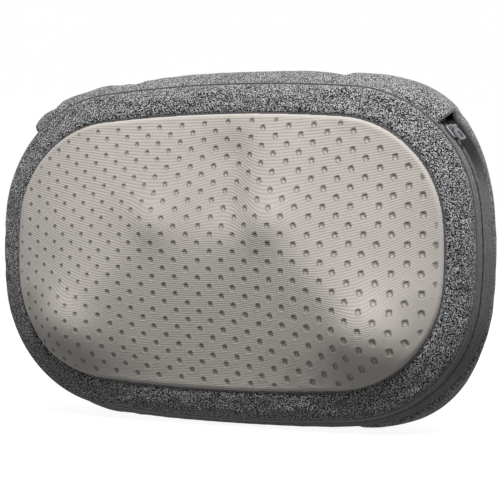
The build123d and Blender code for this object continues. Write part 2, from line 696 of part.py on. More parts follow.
worm_turn = 360 * WORM_LENGTH / (WORM_STARTS * pi * MODULE)
worm_base = level_plane(0, WORM_Y, DRIVE_Z - WORM_LENGTH / 2)
with BuildSketch(worm_base.rotated((0, 0, -worm_turn / 2))) as worm_section:
    draw_worm_section()
with BuildPart() as worm:
    add(Solid.extrude_linear_with_rotation(
        worm_section.sketch.faces()[0], worm_base.origin, (0, 0, WORM_LENGTH), worm_turn))
    rod(worm_base, MOTOR_SHAFT_R, WORM_LENGTH, Mode.SUBTRACT)
finish(worm, "worm")

# ---------------------------------------------------------------- motor
CAN_WALL = 1.2
MOTOR_BOTTOM = MOTOR_TOP - MOTOR_LENGTH
CAP_THICK = 3
CAP_BOSS_R = 5
CAP_BOSS = 1.5
BRACKET_THICK = 2.5
BRACKET_WIDTH = 29
BRACKET_BORE_R = 4.5
MOTOR_SCREWS = [(-8.5, 0), (8.5, 0)]
MOTOR_SCREW_REACH = 4
MOTOR_SCREW_CAP_R = 2.6
MOTOR_SCREW_CAP = 1.8
MAGNET_GAP = 9
ROTOR_SLOTS = 5
ROTOR_SLOT = (4, 1.6)
ROTOR_R = 9
AIR_GAP = 0.6
COMMUTATOR_R = 4.5
COMMUTATOR_BOTTOM = MOTOR_BOTTOM + 4
SHAFT_TAIL = 1
SHAFT_TIP = 1               # past the worm's upper bearing
MAGNET_BOTTOM = MOTOR_BOTTOM + 8
MAGNET_LENGTH = 26
ROTOR_BOTTOM = MAGNET_BOTTOM + 2
ROTOR_LENGTH = MAGNET_LENGTH - 4
with BuildPart() as motor_can:
    rod(level_plane(0, WORM_Y, MOTOR_BOTTOM), MOTOR_R, MOTOR_LENGTH)
    rod(level_plane(0, WORM_Y, MOTOR_BOTTOM), MOTOR_R - CAN_WALL, MOTOR_LENGTH - CAN_WALL, Mode.SUBTRACT)
    rod(level_plane(0, WORM_Y, MOTOR_BOTTOM), MOTOR_SHAFT_R + RUN, MOTOR_LENGTH, Mode.SUBTRACT)
    with BuildSketch(level_plane(0, WORM_Y, MOTOR_TOP - CAN_WALL)):
        with Locations(*MOTOR_SCREWS):
            Circle(SCREW_R)
    extrude(amount=CAN_WALL, mode=Mode.SUBTRACT)
finish(motor_can, "motor_can")

with BuildPart() as motor_end_cap:
    ring(level_plane(0, WORM_Y, MOTOR_BOTTOM), MOTOR_R - CAN_WALL, MOTOR_SHAFT_R + RUN, CAP_THICK)
    ring(level_plane(0, WORM_Y, MOTOR_BOTTOM - CAP_BOSS), CAP_BOSS_R, MOTOR_SHAFT_R + RUN, CAP_BOSS)
finish(motor_end_cap, "motor_end_cap")

with BuildPart() as motor_magnets:
    ring(level_plane(0, WORM_Y, MAGNET_BOTTOM), MOTOR_R - CAN_WALL, ROTOR_R + AIR_GAP, MAGNET_LENGTH)
    with BuildSketch(level_plane(0, WORM_Y, MAGNET_BOTTOM)):
        Rectangle(MAGNET_GAP, 3 * MOTOR_R)
    extrude(amount=MAGNET_LENGTH, mode=Mode.SUBTRACT)
finish(motor_magnets, "motor_magnets")

with BuildPart() as motor_rotor:
    with BuildSketch(level_plane(0, WORM_Y, ROTOR_BOTTOM)):
        Circle(ROTOR_R)
        with PolarLocations(ROTOR_R - 1, ROTOR_SLOTS):
            Rectangle(*ROTOR_SLOT, mode=Mode.SUBTRACT)
        Circle(MOTOR_SHAFT_R, mode=Mode.SUBTRACT)
    extrude(amount=ROTOR_LENGTH)
    commutator_length = ROTOR_BOTTOM - COMMUTATOR_BOTTOM
    ring(level_plane(0, WORM_Y, COMMUTATOR_BOTTOM), COMMUTATOR_R, MOTOR_SHAFT_R, commutator_length)
finish(motor_rotor, "motor_rotor")

with BuildPart() as motor_shaft:
    shaft_length = BEARING_Z + BEARING_LENGTH + SHAFT_TIP - MOTOR_BOTTOM + SHAFT_TAIL
    rod(level_plane(0, WORM_Y, MOTOR_BOTTOM - SHAFT_TAIL), MOTOR_SHAFT_R, shaft_length)
finish(motor_shaft, "motor_shaft")

with BuildPart() as worm_bearing:
    ring(level_plane(0, WORM_Y, BEARING_Z), BEARING_OUTER_R, MOTOR_SHAFT_R + RUN, BEARING_LENGTH)
finish(worm_bearing, "worm_bearing")

with BuildPart() as motor_bracket:
    with BuildSketch(level_plane(0, WORM_Y, MOTOR_TOP)):
        with Locations((0, (TUB_FLOOR + PLATE_BACK) / 2 - WORM_Y)):
            RectangleRounded(BRACKET_WIDTH, TUB_FLOOR - PLATE_BACK - 0.4, 3)
        Circle(BRACKET_BORE_R, mode=Mode.SUBTRACT)
        with Locations(*MOTOR_SCREWS):
            Circle(SCREW_R, mode=Mode.SUBTRACT)
    extrude(amount=BRACKET_THICK)
finish(motor_bracket, "motor_bracket")

with BuildPart() as motor_screws:
    with BuildSketch(level_plane(0, WORM_Y, MOTOR_TOP - MOTOR_SCREW_REACH)):
        with Locations(*MOTOR_SCREWS):
            Circle(SCREW_R)
    extrude(amount=MOTOR_SCREW_REACH + BRACKET_THICK)
    with BuildSketch(level_plane(0, WORM_Y, MOTOR_TOP + BRACKET_THICK)):
        with Locations(*MOTOR_SCREWS):
            Circle(MOTOR_SCREW_CAP_R)
    extrude(amount=MOTOR_SCREW_CAP)
finish(motor_screws, "motor_screws")

# ---------------------------------------------------------------- circuit board
BOARD_CENTRE = (-70, -60)
BOARD_SIZE = (52, 26)
BOARD_Y = 28
BOARD_THICK = 1.6
POST_R = 2.5
POST_INSET = 4
# Capacitors are (x, z, diameter) and blocks (x, z, width, height, depth), from the board's middle.
CAPACITORS = [(-14, 4, 8), (-14, -7, 6)]
CAPACITOR_LENGTH = 11
BOARD_BLOCKS = [(4, 0, 15, 11, 8), (20, 0, 6, 16, 6)]
with BuildPart() as circuit_board:
    with BuildSketch(front_plane(BOARD_Y)):
        with Locations(BOARD_CENTRE):
            Rectangle(*BOARD_SIZE)
    extrude(amount=BOARD_THICK)
finish(circuit_board, "circuit_board")

with BuildPart() as board_posts:
    with BuildSketch(front_plane(TUB_FLOOR)):
        with Locations(BOARD_CENTRE):
            with GridLocations(BOARD_SIZE[0] - 2 * POST_INSET, BOARD_SIZE[1] - 2 * POST_INSET, 2, 2):
                Circle(POST_R)
    extrude(amount=TUB_FLOOR - BOARD_Y)
finish(board_posts, "board_posts")

with BuildPart() as board_components:
    front = BOARD_Y - BOARD_THICK
    with BuildSketch(front_plane(front)):
        for x, z, diameter in CAPACITORS:
            with Locations((BOARD_CENTRE[0] + x, BOARD_CENTRE[1] + z)):
                Circle(diameter / 2)
    extrude(amount=CAPACITOR_LENGTH)
    for x, z, width, height, depth in BOARD_BLOCKS:
        with BuildSketch(front_plane(front)):
            with Locations((BOARD_CENTRE[0] + x, BOARD_CENTRE[1] + z)):
                Rectangle(width, height)
        extrude(amount=depth)
finish(board_components, "board_components")

# ---------------------------------------------------------------- control pod in the left wall
INLET_R = 4.6
INLET_WALL = 1.5
POD_FLOOR = POD_DEPTH - POD_WALL
CONTROL_BOARD_DEPTH = 8
CONTROL_BOARD_THICK = 1.2
CONTROL_BOARD_SIZE = (18, 11)
CONTROL_BOARD_UP = BUTTON_UP - 1
REST_SIZE = (3, 10)
REST_SPACING = 6.5
SWITCH_SIZE = 6
SWITCH_TOP = 3.4
PLUNGER_R = 1.7
PLUNGER_FOOT = SWITCH_TOP + 1.7
PLUNGER_RISE = 0.4
BUTTON_STEM = 3.1           # from the cloth's surface in to the stem's end
BUTTON_RISE = 0.6
BUTTON_RIM = 0.7
BUTTON_RIM_THICK = 1
STEM_R = 1.5
BUTTON_CLEAR = 0.25
INLET_SUNK = 0.2            # the inlet's front stays this far behind the plate's back
with BuildPart() as control_plate:
    with BuildSketch(control_plane(0)):
        RectangleRounded(*PLATE_SIZE, 6)
    extrude(amount=PLATE_PROUD)
    fillet(control_plate.faces().sort_by(Axis((0, 0, 0), control_normal))[-1].edges(), 1)
    rod(control_plane(CUT_CLEAR, BUTTON_UP), BUTTON_R + BUTTON_CLEAR, 2 * CUT_CLEAR, Mode.SUBTRACT)
    rod(control_plane(CUT_CLEAR, INLET_DOWN), BARREL_R, 2 * CUT_CLEAR, Mode.SUBTRACT)
finish(control_plate, "control_plate")

with BuildPart() as control_pod:
    with BuildSketch(control_plane(POD_DEPTH)):
        RectangleRounded(*POD_SIZE, 3.5)
    extrude(amount=POD_DEPTH)
    with BuildSketch(control_plane(POD_FLOOR)):
        RectangleRounded(POD_SIZE[0] - 2 * POD_WALL, POD_SIZE[1] - 2 * POD_WALL, 2)
    extrude(amount=POD_FLOOR, mode=Mode.SUBTRACT)
finish(control_pod, "control_pod")

with BuildPart() as control_board:
    with BuildSketch(control_plane(CONTROL_BOARD_DEPTH + CONTROL_BOARD_THICK, CONTROL_BOARD_UP)):
        Rectangle(*CONTROL_BOARD_SIZE)
    extrude(amount=CONTROL_BOARD_THICK)
finish(control_board, "control_board")

with BuildPart() as board_rests:
    with BuildSketch(control_plane(POD_FLOOR, CONTROL_BOARD_UP)):
        with Locations((REST_SPACING, 0), (-REST_SPACING, 0)):
            Rectangle(*REST_SIZE)
    extrude(amount=POD_FLOOR - CONTROL_BOARD_DEPTH - CONTROL_BOARD_THICK)
finish(board_rests, "board_rests")

with BuildPart() as button_switch:
    with BuildSketch(control_plane(CONTROL_BOARD_DEPTH, BUTTON_UP)):
        Rectangle(SWITCH_SIZE, SWITCH_SIZE)
    extrude(amount=CONTROL_BOARD_DEPTH - PLUNGER_FOOT)
    rod(control_plane(PLUNGER_FOOT, BUTTON_UP), PLUNGER_R, PLUNGER_RISE)
finish(button_switch, "button_switch")

with BuildPart() as power_button:
    rod(control_plane(0, BUTTON_UP), BUTTON_R, PLATE_PROUD + BUTTON_TRAVEL + BUTTON_RISE)
    fillet(power_button.faces().sort_by(Axis((0, 0, 0), control_normal))[-1].edges(), 0.8)
    ring(control_plane(BUTTON_RIM_THICK, BUTTON_UP), BUTTON_R + BUTTON_RIM, 2 * STEM_R, BUTTON_RIM_THICK)
    rod(control_plane(BUTTON_STEM, BUTTON_UP), STEM_R, BUTTON_STEM)
finish(power_button, "power_button")

with BuildPart() as dc_inlet:
    rod(control_plane(POD_FLOOR, INLET_DOWN), INLET_R, POD_FLOOR - INLET_SUNK)
    rod(control_plane(POD_FLOOR - INLET_WALL, INLET_DOWN), BARREL_R, POD_FLOOR, Mode.SUBTRACT)
finish(dc_inlet, "dc_inlet")

INLET_PIN_LENGTH = 9
with BuildPart() as inlet_pin:
    rod(control_plane(POD_FLOOR - INLET_WALL, INLET_DOWN), INLET_PIN_R, INLET_PIN_LENGTH)
finish(inlet_pin, "inlet_pin")
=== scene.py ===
"""A shiatsu neck massager: a zipped cushion cover with a perforated mesh panel over its massage heads."""

import json
import math

import bpy
import numpy as np
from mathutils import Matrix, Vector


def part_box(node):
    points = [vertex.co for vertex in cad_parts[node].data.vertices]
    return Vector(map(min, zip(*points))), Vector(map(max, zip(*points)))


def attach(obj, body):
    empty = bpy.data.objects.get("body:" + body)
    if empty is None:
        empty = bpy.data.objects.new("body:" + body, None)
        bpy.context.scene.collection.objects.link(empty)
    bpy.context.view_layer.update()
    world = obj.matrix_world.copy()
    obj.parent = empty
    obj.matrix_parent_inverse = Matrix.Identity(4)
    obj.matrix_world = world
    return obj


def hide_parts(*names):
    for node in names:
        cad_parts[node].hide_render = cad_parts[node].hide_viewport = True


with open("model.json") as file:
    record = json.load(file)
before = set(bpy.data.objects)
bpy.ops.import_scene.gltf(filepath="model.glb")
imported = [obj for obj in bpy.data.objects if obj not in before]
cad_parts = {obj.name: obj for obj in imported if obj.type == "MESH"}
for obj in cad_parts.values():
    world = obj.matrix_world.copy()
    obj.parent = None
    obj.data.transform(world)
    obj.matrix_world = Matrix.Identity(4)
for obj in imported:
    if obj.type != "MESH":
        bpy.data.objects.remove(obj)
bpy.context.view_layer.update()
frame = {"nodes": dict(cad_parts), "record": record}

MM = 0.001
FIXED = "massager"


# ------------------------------------------------------------------ sizes, in millimetres, from the frame
def box(node):
    """Lowest and highest corner of a CAD node at rest."""
    return [np.array(corner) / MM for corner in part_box(node)]


panel_low, panel_high = box("mesh_panel")
cover_low, cover_high = box("front_cover")
band_high = box("zip_tape_rear")[1]
coil_low, coil_high = box("zip_coil")

CENTRE_Z = (panel_low[2] + panel_high[2]) / 2
PANEL_Y = panel_high[1]
SEAM_Y = cover_high[1]
STITCH_Y = SEAM_Y + 0.8     # the border is sewn to the front tape here
COIL_Y = (coil_low[1] + coil_high[1]) / 2
GIRTH_Y = band_high[1]
REAR_Y = GIRTH_Y + 30
BACK_Y = box("rear_cover")[1][1]

# An outline is (half width, half height, corner radius, side arc radius, crown arc radius).
PANEL = (panel_high[0], (panel_high[2] - panel_low[2]) / 2, 69, 230, 950)
SEAM = (cover_high[0], (cover_high[2] - cover_low[2]) / 2, 82, 250, 900)
REAR = (152, 111, 58, 600, 900)
BAND_GROW = band_high[0] - cover_high[0]


# ------------------------------------------------------------------ outlines
def grow(shape, amount):
    """The parallel outline, amount further out."""
    return tuple(value + amount for value in shape)


def corner_centre(shape):
    """Centre of the corner arc that is tangent inside both the side arc and the crown arc."""
    half_width, half_height, corner_r, side_r, crown_r = shape
    side_x = half_width - side_r
    crown_z = half_height - crown_r
    span = math.hypot(side_x, crown_z)
    to_side = side_r - corner_r
    to_crown = crown_r - corner_r
    along = (to_side**2 - to_crown**2 + span**2) / (2 * span)
    aside = math.sqrt(to_side**2 - along**2)
    unit_x = -side_x / span
    unit_z = crown_z / span
    return side_x + along * unit_x - aside * unit_z, along * unit_z + aside * unit_x


def outline(shape, side_steps=28, corner_steps=90, crown_steps=74):
    """Points (x, z) once round, from the right side's middle over the top."""
    half_width, half_height, corner_r, side_r, crown_r = shape
    x, z = corner_centre(shape)
    side_x = half_width - side_r
    crown_z = half_height - crown_r
    start = math.atan2(z, x - side_x)
    end = math.atan2(z - crown_z, x)
    side = np.linspace(0, start, side_steps, endpoint=False)
    corner = np.linspace(start, end, corner_steps, endpoint=False)
    crown = np.linspace(end, math.pi / 2, crown_steps + 1)
    quarter = np.concatenate([
        np.stack([side_x + side_r * np.cos(side), side_r * np.sin(side)], 1),
        np.stack([x + corner_r * np.cos(corner), z + corner_r * np.sin(corner)], 1),
        np.stack([crown_r * np.cos(crown), crown_z + crown_r * np.sin(crown)], 1),
    ])
    half = np.concatenate([quarter, quarter[-2::-1] * [-1, 1]])
    return np.concatenate([half, half[-2:0:-1] * [1, -1]])


def outside(shape, x, z):
    """Distance of points outside the outline, negative inside."""
    half_width, half_height, corner_r, side_r, crown_r = shape
    corner_x, corner_z = corner_centre(shape)
    side_x = half_width - side_r
    crown_z = half_height - crown_r
    x, z = np.abs(x), np.abs(z)
    to_side = np.hypot(x - side_x, z) - side_r
    to_crown = np.hypot(x, z - crown_z) - crown_r
    to_corner = np.hypot(x - corner_x, z - corner_z) - corner_r
    above = x * (corner_z - crown_z) < (z - crown_z) * corner_x
    below = z * (corner_x - side_x) < (x - side_x) * corner_z
    return np.where(below, to_side, np.where(above, to_crown, to_corner))


# ------------------------------------------------------------------ mesh helpers
def mesh_piece(name, vertices, faces):
    """A new smooth mesh from vertices in millimetres, riding on the cushion."""
    mesh = bpy.data.meshes.new(name)
    mesh.from_pydata((np.asarray(vertices) * MM).tolist(), [], faces)
    mesh.validate()
    piece = bpy.data.objects.new(name, mesh)
    bpy.context.collection.objects.link(piece)
    mesh.polygons.foreach_set("use_smooth", [True] * len(mesh.polygons))
    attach(piece, FIXED)
    return piece


def grid_faces(rows, columns, start=0, flip=False):
    """Quads of a grid of rows by columns points, numbered row by row."""
    faces = []
    for row in range(rows - 1):
        base = start + row * columns
        for column in range(columns - 1):
            quad = (base + column, base + column + 1, base + column + columns + 1, base + column + columns)
            faces.append(quad[::-1] if flip else quad)
    return faces


def slab(top, under):
    """Vertices and faces of a closed slab between two grids: rows go up, columns to +X, the top faces +Y."""
    rows, columns = top.shape[:2]
    count = rows * columns
    faces = grid_faces(rows, columns, flip=True) + grid_faces(rows, columns, count)
    rim = list(range(columns)) + [row * columns + columns - 1 for row in range(1, rows)]
    rim += [(rows - 1) * columns + column for column in range(columns - 2, -1, -1)]
    rim += [row * columns for row in range(rows - 2, 0, -1)]
    faces += [(first, second, second + count, first + count) for first, second in zip(rim, rim[1:] + rim[:1])]
    return np.concatenate([top.reshape(-1, 3), under.reshape(-1, 3)]), faces


def smoothstep(low, high, value):
    t = np.clip((value - low) / (high - low), 0, 1)
    return t * t * (3 - 2 * t)


def unit(vectors):
    """The vectors at length 1."""
    return vectors / np.maximum(np.linalg.norm(vectors, axis=-1, keepdims=True), 1e-9)


def quarter_round(share):
    """Height of a rounded edge of unit size, at a share of its width."""
    return np.sqrt(np.clip(1 - (1 - np.minimum(share, 1)) ** 2, 0, 1))


def ripple(u, v, waves, seed):
    """Smooth pseudo-random ripple of unit size over two coordinates, from a fixed seed."""
    random = np.random.default_rng(seed)
    total = np.zeros(np.broadcast(u, v).shape)
    for low, high in waves:
        for _ in range(4):
            angle = random.uniform(0, math.pi)
            pitch = random.uniform(low, high)
            phase = random.uniform(0, 2 * math.pi)
            total = total + np.sin(2 * math.pi * (u * math.cos(angle) + v * math.sin(angle)) / pitch + phase)
    return total / (4 * len(waves))


# ------------------------------------------------------------------ materials
def linear(red, green, blue):
    """Scene colour from 0-255 display values."""
    values = []
    for value in (red, green, blue):
        share = value / 255
        values.append(share / 12.92 if share <= 0.04045 else ((share + 0.055) / 1.055) ** 2.4)
    return (*values, 1)


def tint(colour, factor):
    """A scene colour made darker or lighter."""
    return (*(min(1, factor * value) for value in colour[:3]), 1)


class Shader:
    """A node material under construction."""

    def __init__(self, name, roughness=0.5, **inputs):
        self.material = bpy.data.materials.new(name)
        self.material.use_nodes = True
        self.tree = self.material.node_tree
        self.surface = self.tree.nodes["Principled BSDF"]
        self.surface.inputs["Roughness"].default_value = roughness
        for key, value in inputs.items():
            self.surface.inputs[key.replace("_", " ")].default_value = value
        self.place = self.node("TexCoord").outputs["Object"]

    def node(self, kind, **inputs):
        """Adds a node. A value sets an input and a socket is linked to it."""
        made = self.tree.nodes.new("ShaderNode" + kind)
        for key, value in inputs.items():
            self.put(made.inputs[key.replace("_", " ")], value)
        return made

    def put(self, socket, value):
        if isinstance(value, bpy.types.NodeSocket):
            self.tree.links.new(value, socket)
        else:
            socket.default_value = value

    def math(self, operation, first, second=0.0):
        made = self.tree.nodes.new("ShaderNodeMath")
        made.operation = operation
        self.put(made.inputs[0], first)
        self.put(made.inputs[1], second)
        return made.outputs[0]

    def blend(self, first, first_share, second, second_share):
        """The sum of a share of each of two values."""
        taken = self.math("MULTIPLY", first, first_share)
        return self.math("ADD", taken, self.math("MULTIPLY", second, second_share))

    def wave(self, value, pitch):
        """Sine wave along a coordinate."""
        return self.math("SINE", self.math("MULTIPLY", value, 2 * math.pi / pitch))

    def span(self, value, low, high, start=0.0):
        """Value from start-1 to low-high."""
        made = self.node("MapRange", Value=value)
        made.inputs["From Min"].default_value = start
        made.inputs["To Min"].default_value = low
        made.inputs["To Max"].default_value = high
        return made.outputs["Result"]

    def attribute(self, name):
        """A number that the mesh holds at each point."""
        made = self.node("Attribute")
        made.attribute_name = name
        return made.outputs["Fac"]

    def fabric(self):
        """Coordinates along the cloth, in millimetres, as outputs X and Y."""
        made = self.node("UVMap")
        made.uv_map = "fabric"
        return self.node("SeparateXYZ", Vector=made.outputs[0]).outputs

    def stretch(self, x, y, z, turn=0.0):
        """Coordinates for a pattern longer by x, y and z along the axes, turned about Y by degrees."""
        made = self.node("Mapping", Vector=self.place)
        made.vector_type = "TEXTURE"
        made.inputs["Rotation"].default_value = (0, math.radians(turn), 0)
        made.inputs["Scale"].default_value = (x, y, z)
        return made.outputs[0]

    def noise(self, scale, detail=2.0, place=None):
        return self.node("TexNoise", Vector=place or self.place, Scale=scale, Detail=detail).outputs["Fac"]

    def ramp(self, value, *stops):
        """Colour ramp through (position, colour) stops."""
        made = self.node("ValToRGB", Fac=value)
        points = made.color_ramp.elements
        while len(points) < len(stops):
            points.new(0.5)
        for point, (position, colour) in zip(points, stops):
            point.position = position
            point.color = colour
        return made.outputs["Color"]

    def mix(self, share, first, second, blend="MIX"):
        made = self.tree.nodes.new("ShaderNodeMix")
        made.data_type = "RGBA"
        made.blend_type = blend
        self.put(made.inputs["Factor"], share)
        self.put(made.inputs["A"], first)
        self.put(made.inputs["B"], second)
        return made.outputs["Result"]

    def colour(self, value):
        self.put(self.surface.inputs["Base Color"], value)

    def with_fold_shade(self, value):
        """Colour with painted shade, near black, where the cloth lies in a deep fold."""
        return self.mix(self.attribute("fold"), value, linear(*FOLD_SHADE_COLOUR))

    def rough(self, value):
        self.put(self.surface.inputs["Roughness"], value)

    def bump(self, height, depth):
        """Bump of depth millimetres."""
        made = self.node("Bump", Height=height, Strength=1.0, Distance=depth * MM)
        self.put(self.surface.inputs["Normal"], made.outputs[0])


KNIT_COLOUR = (187, 181, 175)
KNIT_WARM = (194, 188, 181)
DIMPLE_COLOUR = (182, 176, 169)
DIMPLE_WALL_SHADE = (74, 67, 61)
RIB_PITCH = 1.35            # pitches in millimetres
RIB_WANDER = 0.9
LOOP_PITCH = 0.8
HEATHER_DARK = (7, 7, 8)
HEATHER_MIDDLE = (52, 52, 53)
HEATHER_LIGHT = (184, 184, 185)
# painted shade in the fold behind the zip's closed end
FOLD_SHADE_COLOUR = (12, 12, 13)
FIBRE_SCALE = 1900          # noise scale, per metre
FIBRE_LENGTH = 2.0          # times its width
FIBRE_SLANT = 50            # degrees
TAPE_RIB_PITCH = 0.9
TAPE_WEFT_PITCH = 0.7
STRAP_CORD_PITCH = 2.4
STRAP_WEFT_PITCH = 1.1
WIRE_PITCH = 0.6


def mesh_knit():
    """Beige spacer knit: fine ribs that follow the stretch, with painted shade on the walls of the dimples.
    """
    shader = Shader(
        "mesh_knit", roughness=0.85, Sheen_Weight=0.35, Sheen_Roughness=0.4, Specular_IOR_Level=0.25)
    fabric = shader.fabric()
    wander = shader.math("MULTIPLY", shader.noise(60), RIB_WANDER)
    rib = shader.wave(shader.math("ADD", fabric["Y"], wander), RIB_PITCH)
    loop_place = shader.math("ADD", fabric["X"], shader.math("MULTIPLY", rib, 0.12))
    weave = shader.blend(rib, 0.75, shader.wave(loop_place, LOOP_PITCH), 0.25)
    base = shader.ramp(shader.noise(9, 3), (0.35, linear(*KNIT_COLOUR)), (0.65, linear(*KNIT_WARM)))
    shaded = shader.mix(1.0, base, shader.span(weave, 0.91, 1.02, start=-1), "MULTIPLY")
    depth = shader.attribute("dimple")
    # painted shade on the dimples' sloping walls, strongest half way down
    wall = shader.math("MULTIPLY", shader.math("MULTIPLY", depth, shader.math("SUBTRACT", 1.0, depth)), 2.6)
    wall_shaded = shader.mix(wall, shaded, linear(*DIMPLE_WALL_SHADE))
    shader.colour(shader.mix(shader.math("POWER", depth, 4.0), wall_shaded, linear(*DIMPLE_COLOUR)))
    shader.bump(shader.blend(weave, 0.42, shader.noise(2600, 3), 0.9), 0.15)
    return shader.material


def heather():
    """Two-tone marl knit: pale slanting fibres scattered over charcoal."""
    shader = Shader(
        "heather_knit", roughness=0.92, Sheen_Weight=0.12, Sheen_Roughness=0.5, Specular_IOR_Level=0.2)
    rising, falling = (
        shader.noise(FIBRE_SCALE, 1, shader.stretch(1, 1, FIBRE_LENGTH, slant))
        for slant in (FIBRE_SLANT, -FIBRE_SLANT))
    patches = shader.math("MULTIPLY", shader.math("SUBTRACT", shader.noise(60), 0.5), 0.03)
    tone = shader.ramp(
        shader.math("ADD", shader.blend(rising, 0.5, falling, 0.5), patches),
        (0.44, linear(*HEATHER_DARK)), (0.50, linear(*HEATHER_MIDDLE)), (0.565, linear(*HEATHER_LIGHT)))
    # near-black painted shade in the fold behind the zip's closed end
    shader.colour(shader.with_fold_shade(tone))
    shader.bump(shader.math("ADD", shader.math("MAXIMUM", rising, falling), shader.noise(900)), 0.5)
    return shader.material


def zip_tape():
    """Smooth woven tape: fine ribs along the track and a soft cross weave."""
    shader = Shader("zip_tape", roughness=0.7, Sheen_Weight=0.06, Specular_IOR_Level=0.2)
    fabric = shader.fabric()
    weave = shader.blend(
        shader.wave(fabric["Y"], TAPE_RIB_PITCH), 0.6, shader.wave(fabric["X"], TAPE_WEFT_PITCH), 0.4)
    mottle = shader.noise(700, 3)
    tone = shader.ramp(mottle, (0.3, linear(84, 84, 86)), (0.7, linear(120, 120, 122)))
    # near-black painted shade in the fold behind the zip's closed end
    shader.colour(shader.with_fold_shade(tone))
    shader.bump(shader.math("ADD", weave, mottle), 0.09)
    return shader.material


def moulded(name, colour, roughness=0.45, grain=0.05, **inputs):
    """Moulded plastic or rubber with a spark-eroded grain and faint handling marks."""
    shader = Shader(name, roughness=roughness, **inputs)
    marks = shader.noise(35, 5)
    shader.colour(shader.ramp(marks, (0.3, tint(colour, 0.86)), (0.7, tint(colour, 1.1))))
    shader.rough(shader.span(marks, roughness - 0.08, roughness + 0.10))
    shader.bump(shader.noise(2200, 4), grain)
    return shader.material


def metal(name, colour, roughness=0.3, brush=(30, 30, 1)):
    """Metal with brushed or turned marks and slight tarnish."""
    shader = Shader(name, roughness=roughness, Metallic=1.0)
    marks = shader.noise(260, 4, shader.stretch(*brush))
    shader.colour(shader.ramp(shader.noise(60, 4), (0.25, tint(colour, 0.72)), (0.6, colour)))
    shader.rough(shader.span(marks, roughness - 0.1, roughness + 0.18))
    shader.bump(marks, 0.02)
    return shader.material


def foam():
    """Open-cell foam, with painted shade in the pits at the cells' middles."""
    shader = Shader("foam", roughness=0.95, Subsurface_Weight=0.15)
    cells = shader.node("TexVoronoi", Vector=shader.place, Scale=900).outputs["Distance"]
    # darker where the bump is lowest: painted shade in the pits
    shader.colour(shader.ramp(cells, (0.0, linear(176, 168, 140)), (0.6, linear(232, 226, 204))))
    shader.bump(cells, 0.5)
    return shader.material


def webbing():
    """Elastic webbing: cords along the strap crossed by a fine weft."""
    shader = Shader("strap_webbing", roughness=0.8, Sheen_Weight=0.3)
    axes = shader.node("SeparateXYZ", Vector=shader.place).outputs
    cords = shader.wave(axes["Z"], STRAP_CORD_PITCH * MM)
    weft = shader.wave(axes["X"], STRAP_WEFT_PITCH * MM)
    weave = shader.math("MULTIPLY", shader.math("ADD", cords, 1.4), shader.math("ADD", weft, 1.6))
    fuzz = shader.noise(1500, 3)
    shader.colour(shader.ramp(fuzz, (0.3, linear(30, 30, 32)), (0.75, linear(62, 62, 66))))
    shader.bump(shader.math("ADD", shader.math("MULTIPLY", weave, 0.25), fuzz), 0.35)
    return shader.material


def thread(name, shade):
    """Twisted sewing thread."""
    shader = Shader(name, roughness=0.55, Sheen_Weight=0.3)
    twist = shader.noise(2600, 1, shader.stretch(1.6, 1, 1.2))
    shader.colour(shader.ramp(twist, (0.35, tint(shade, 0.6)), (0.65, shade)))
    shader.bump(twist, 0.12)
    return shader.material


def windings():
    """Enamelled copper wire."""
    shader = Shader("rotor_copper", roughness=0.3, Metallic=0.9)
    axes = shader.node("SeparateXYZ", Vector=shader.place).outputs
    shader.colour(shader.ramp(shader.noise(300), (0.3, linear(130, 62, 30)), (0.7, linear(186, 100, 54))))
    shader.bump(shader.wave(axes["Z"], WIRE_PITCH * MM), 0.15)
    return shader.material


def solder_mask():
    """Circuit board with tracks under a green mask."""
    shader = Shader("board_green", roughness=0.35, Coat_Weight=0.4)
    tracks = shader.node("TexBrick", Vector=shader.place, Scale=260)
    tracks.inputs["Color1"].default_value = linear(20, 92, 48)
    tracks.inputs["Color2"].default_value = linear(14, 74, 38)
    tracks.inputs["Mortar"].default_value = linear(40, 128, 70)
    shader.colour(tracks.outputs["Color"])
    shader.bump(tracks.outputs["Fac"], 0.05)
    return shader.material


MATERIALS = {
    "mesh_knit": mesh_knit(),
    "heather_knit": heather(),
    "zip_tape": zip_tape(),
    "zip_coil": moulded("zip_coil", linear(24, 24, 26), 0.32, 0.02),
    "zip_metal": metal("zip_metal", linear(150, 150, 154), 0.42),
    "strap_webbing": webbing(),
    "foam": foam(),
    "housing_plastic": moulded("housing_plastic", linear(52, 52, 55), 0.5),
    "carrier_plastic": moulded("carrier_plastic", linear(70, 70, 74), 0.42),
    "head_plastic": moulded("head_plastic", linear(168, 34, 26), 0.22, 0.01, Coat_Weight=0.5),
    "gear_plastic": moulded("gear_plastic", linear(232, 228, 214), 0.38, 0.02),
    "bronze": metal("bronze", linear(184, 140, 84), 0.45, (1, 1, 1)),
    "steel": metal("steel", linear(188, 189, 192), 0.28),
    "magnet": moulded("magnet", linear(48, 48, 50), 0.6, 0.08),
    "rotor_copper": windings(),
    "board_green": solder_mask(),
    "black_plastic": moulded("black_plastic", linear(26, 26, 28), 0.36),
    "button_rubber": moulded("button_rubber", linear(74, 74, 78), 0.55, 0.04),
}
# dark thread for the tabs' stitches, also used for the painted shade in the border's seams
DARK_THREAD_AND_SEAM_SHADE = thread("dark_thread_and_seam_shade", linear(58, 58, 60))


def dress(piece, slot, *nodes):
    """Gives a piece its slot's material and hides the CAD nodes it stands for."""
    piece.data.materials.clear()
    piece.data.materials.append(MATERIALS[slot])
    if nodes:
        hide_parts(*nodes)


for part in frame["record"]["subparts"]:
    node = frame["nodes"][part["node"]]
    for material_slot in node.material_slots:
        material_slot.material = MATERIALS[part["material_slot"]]


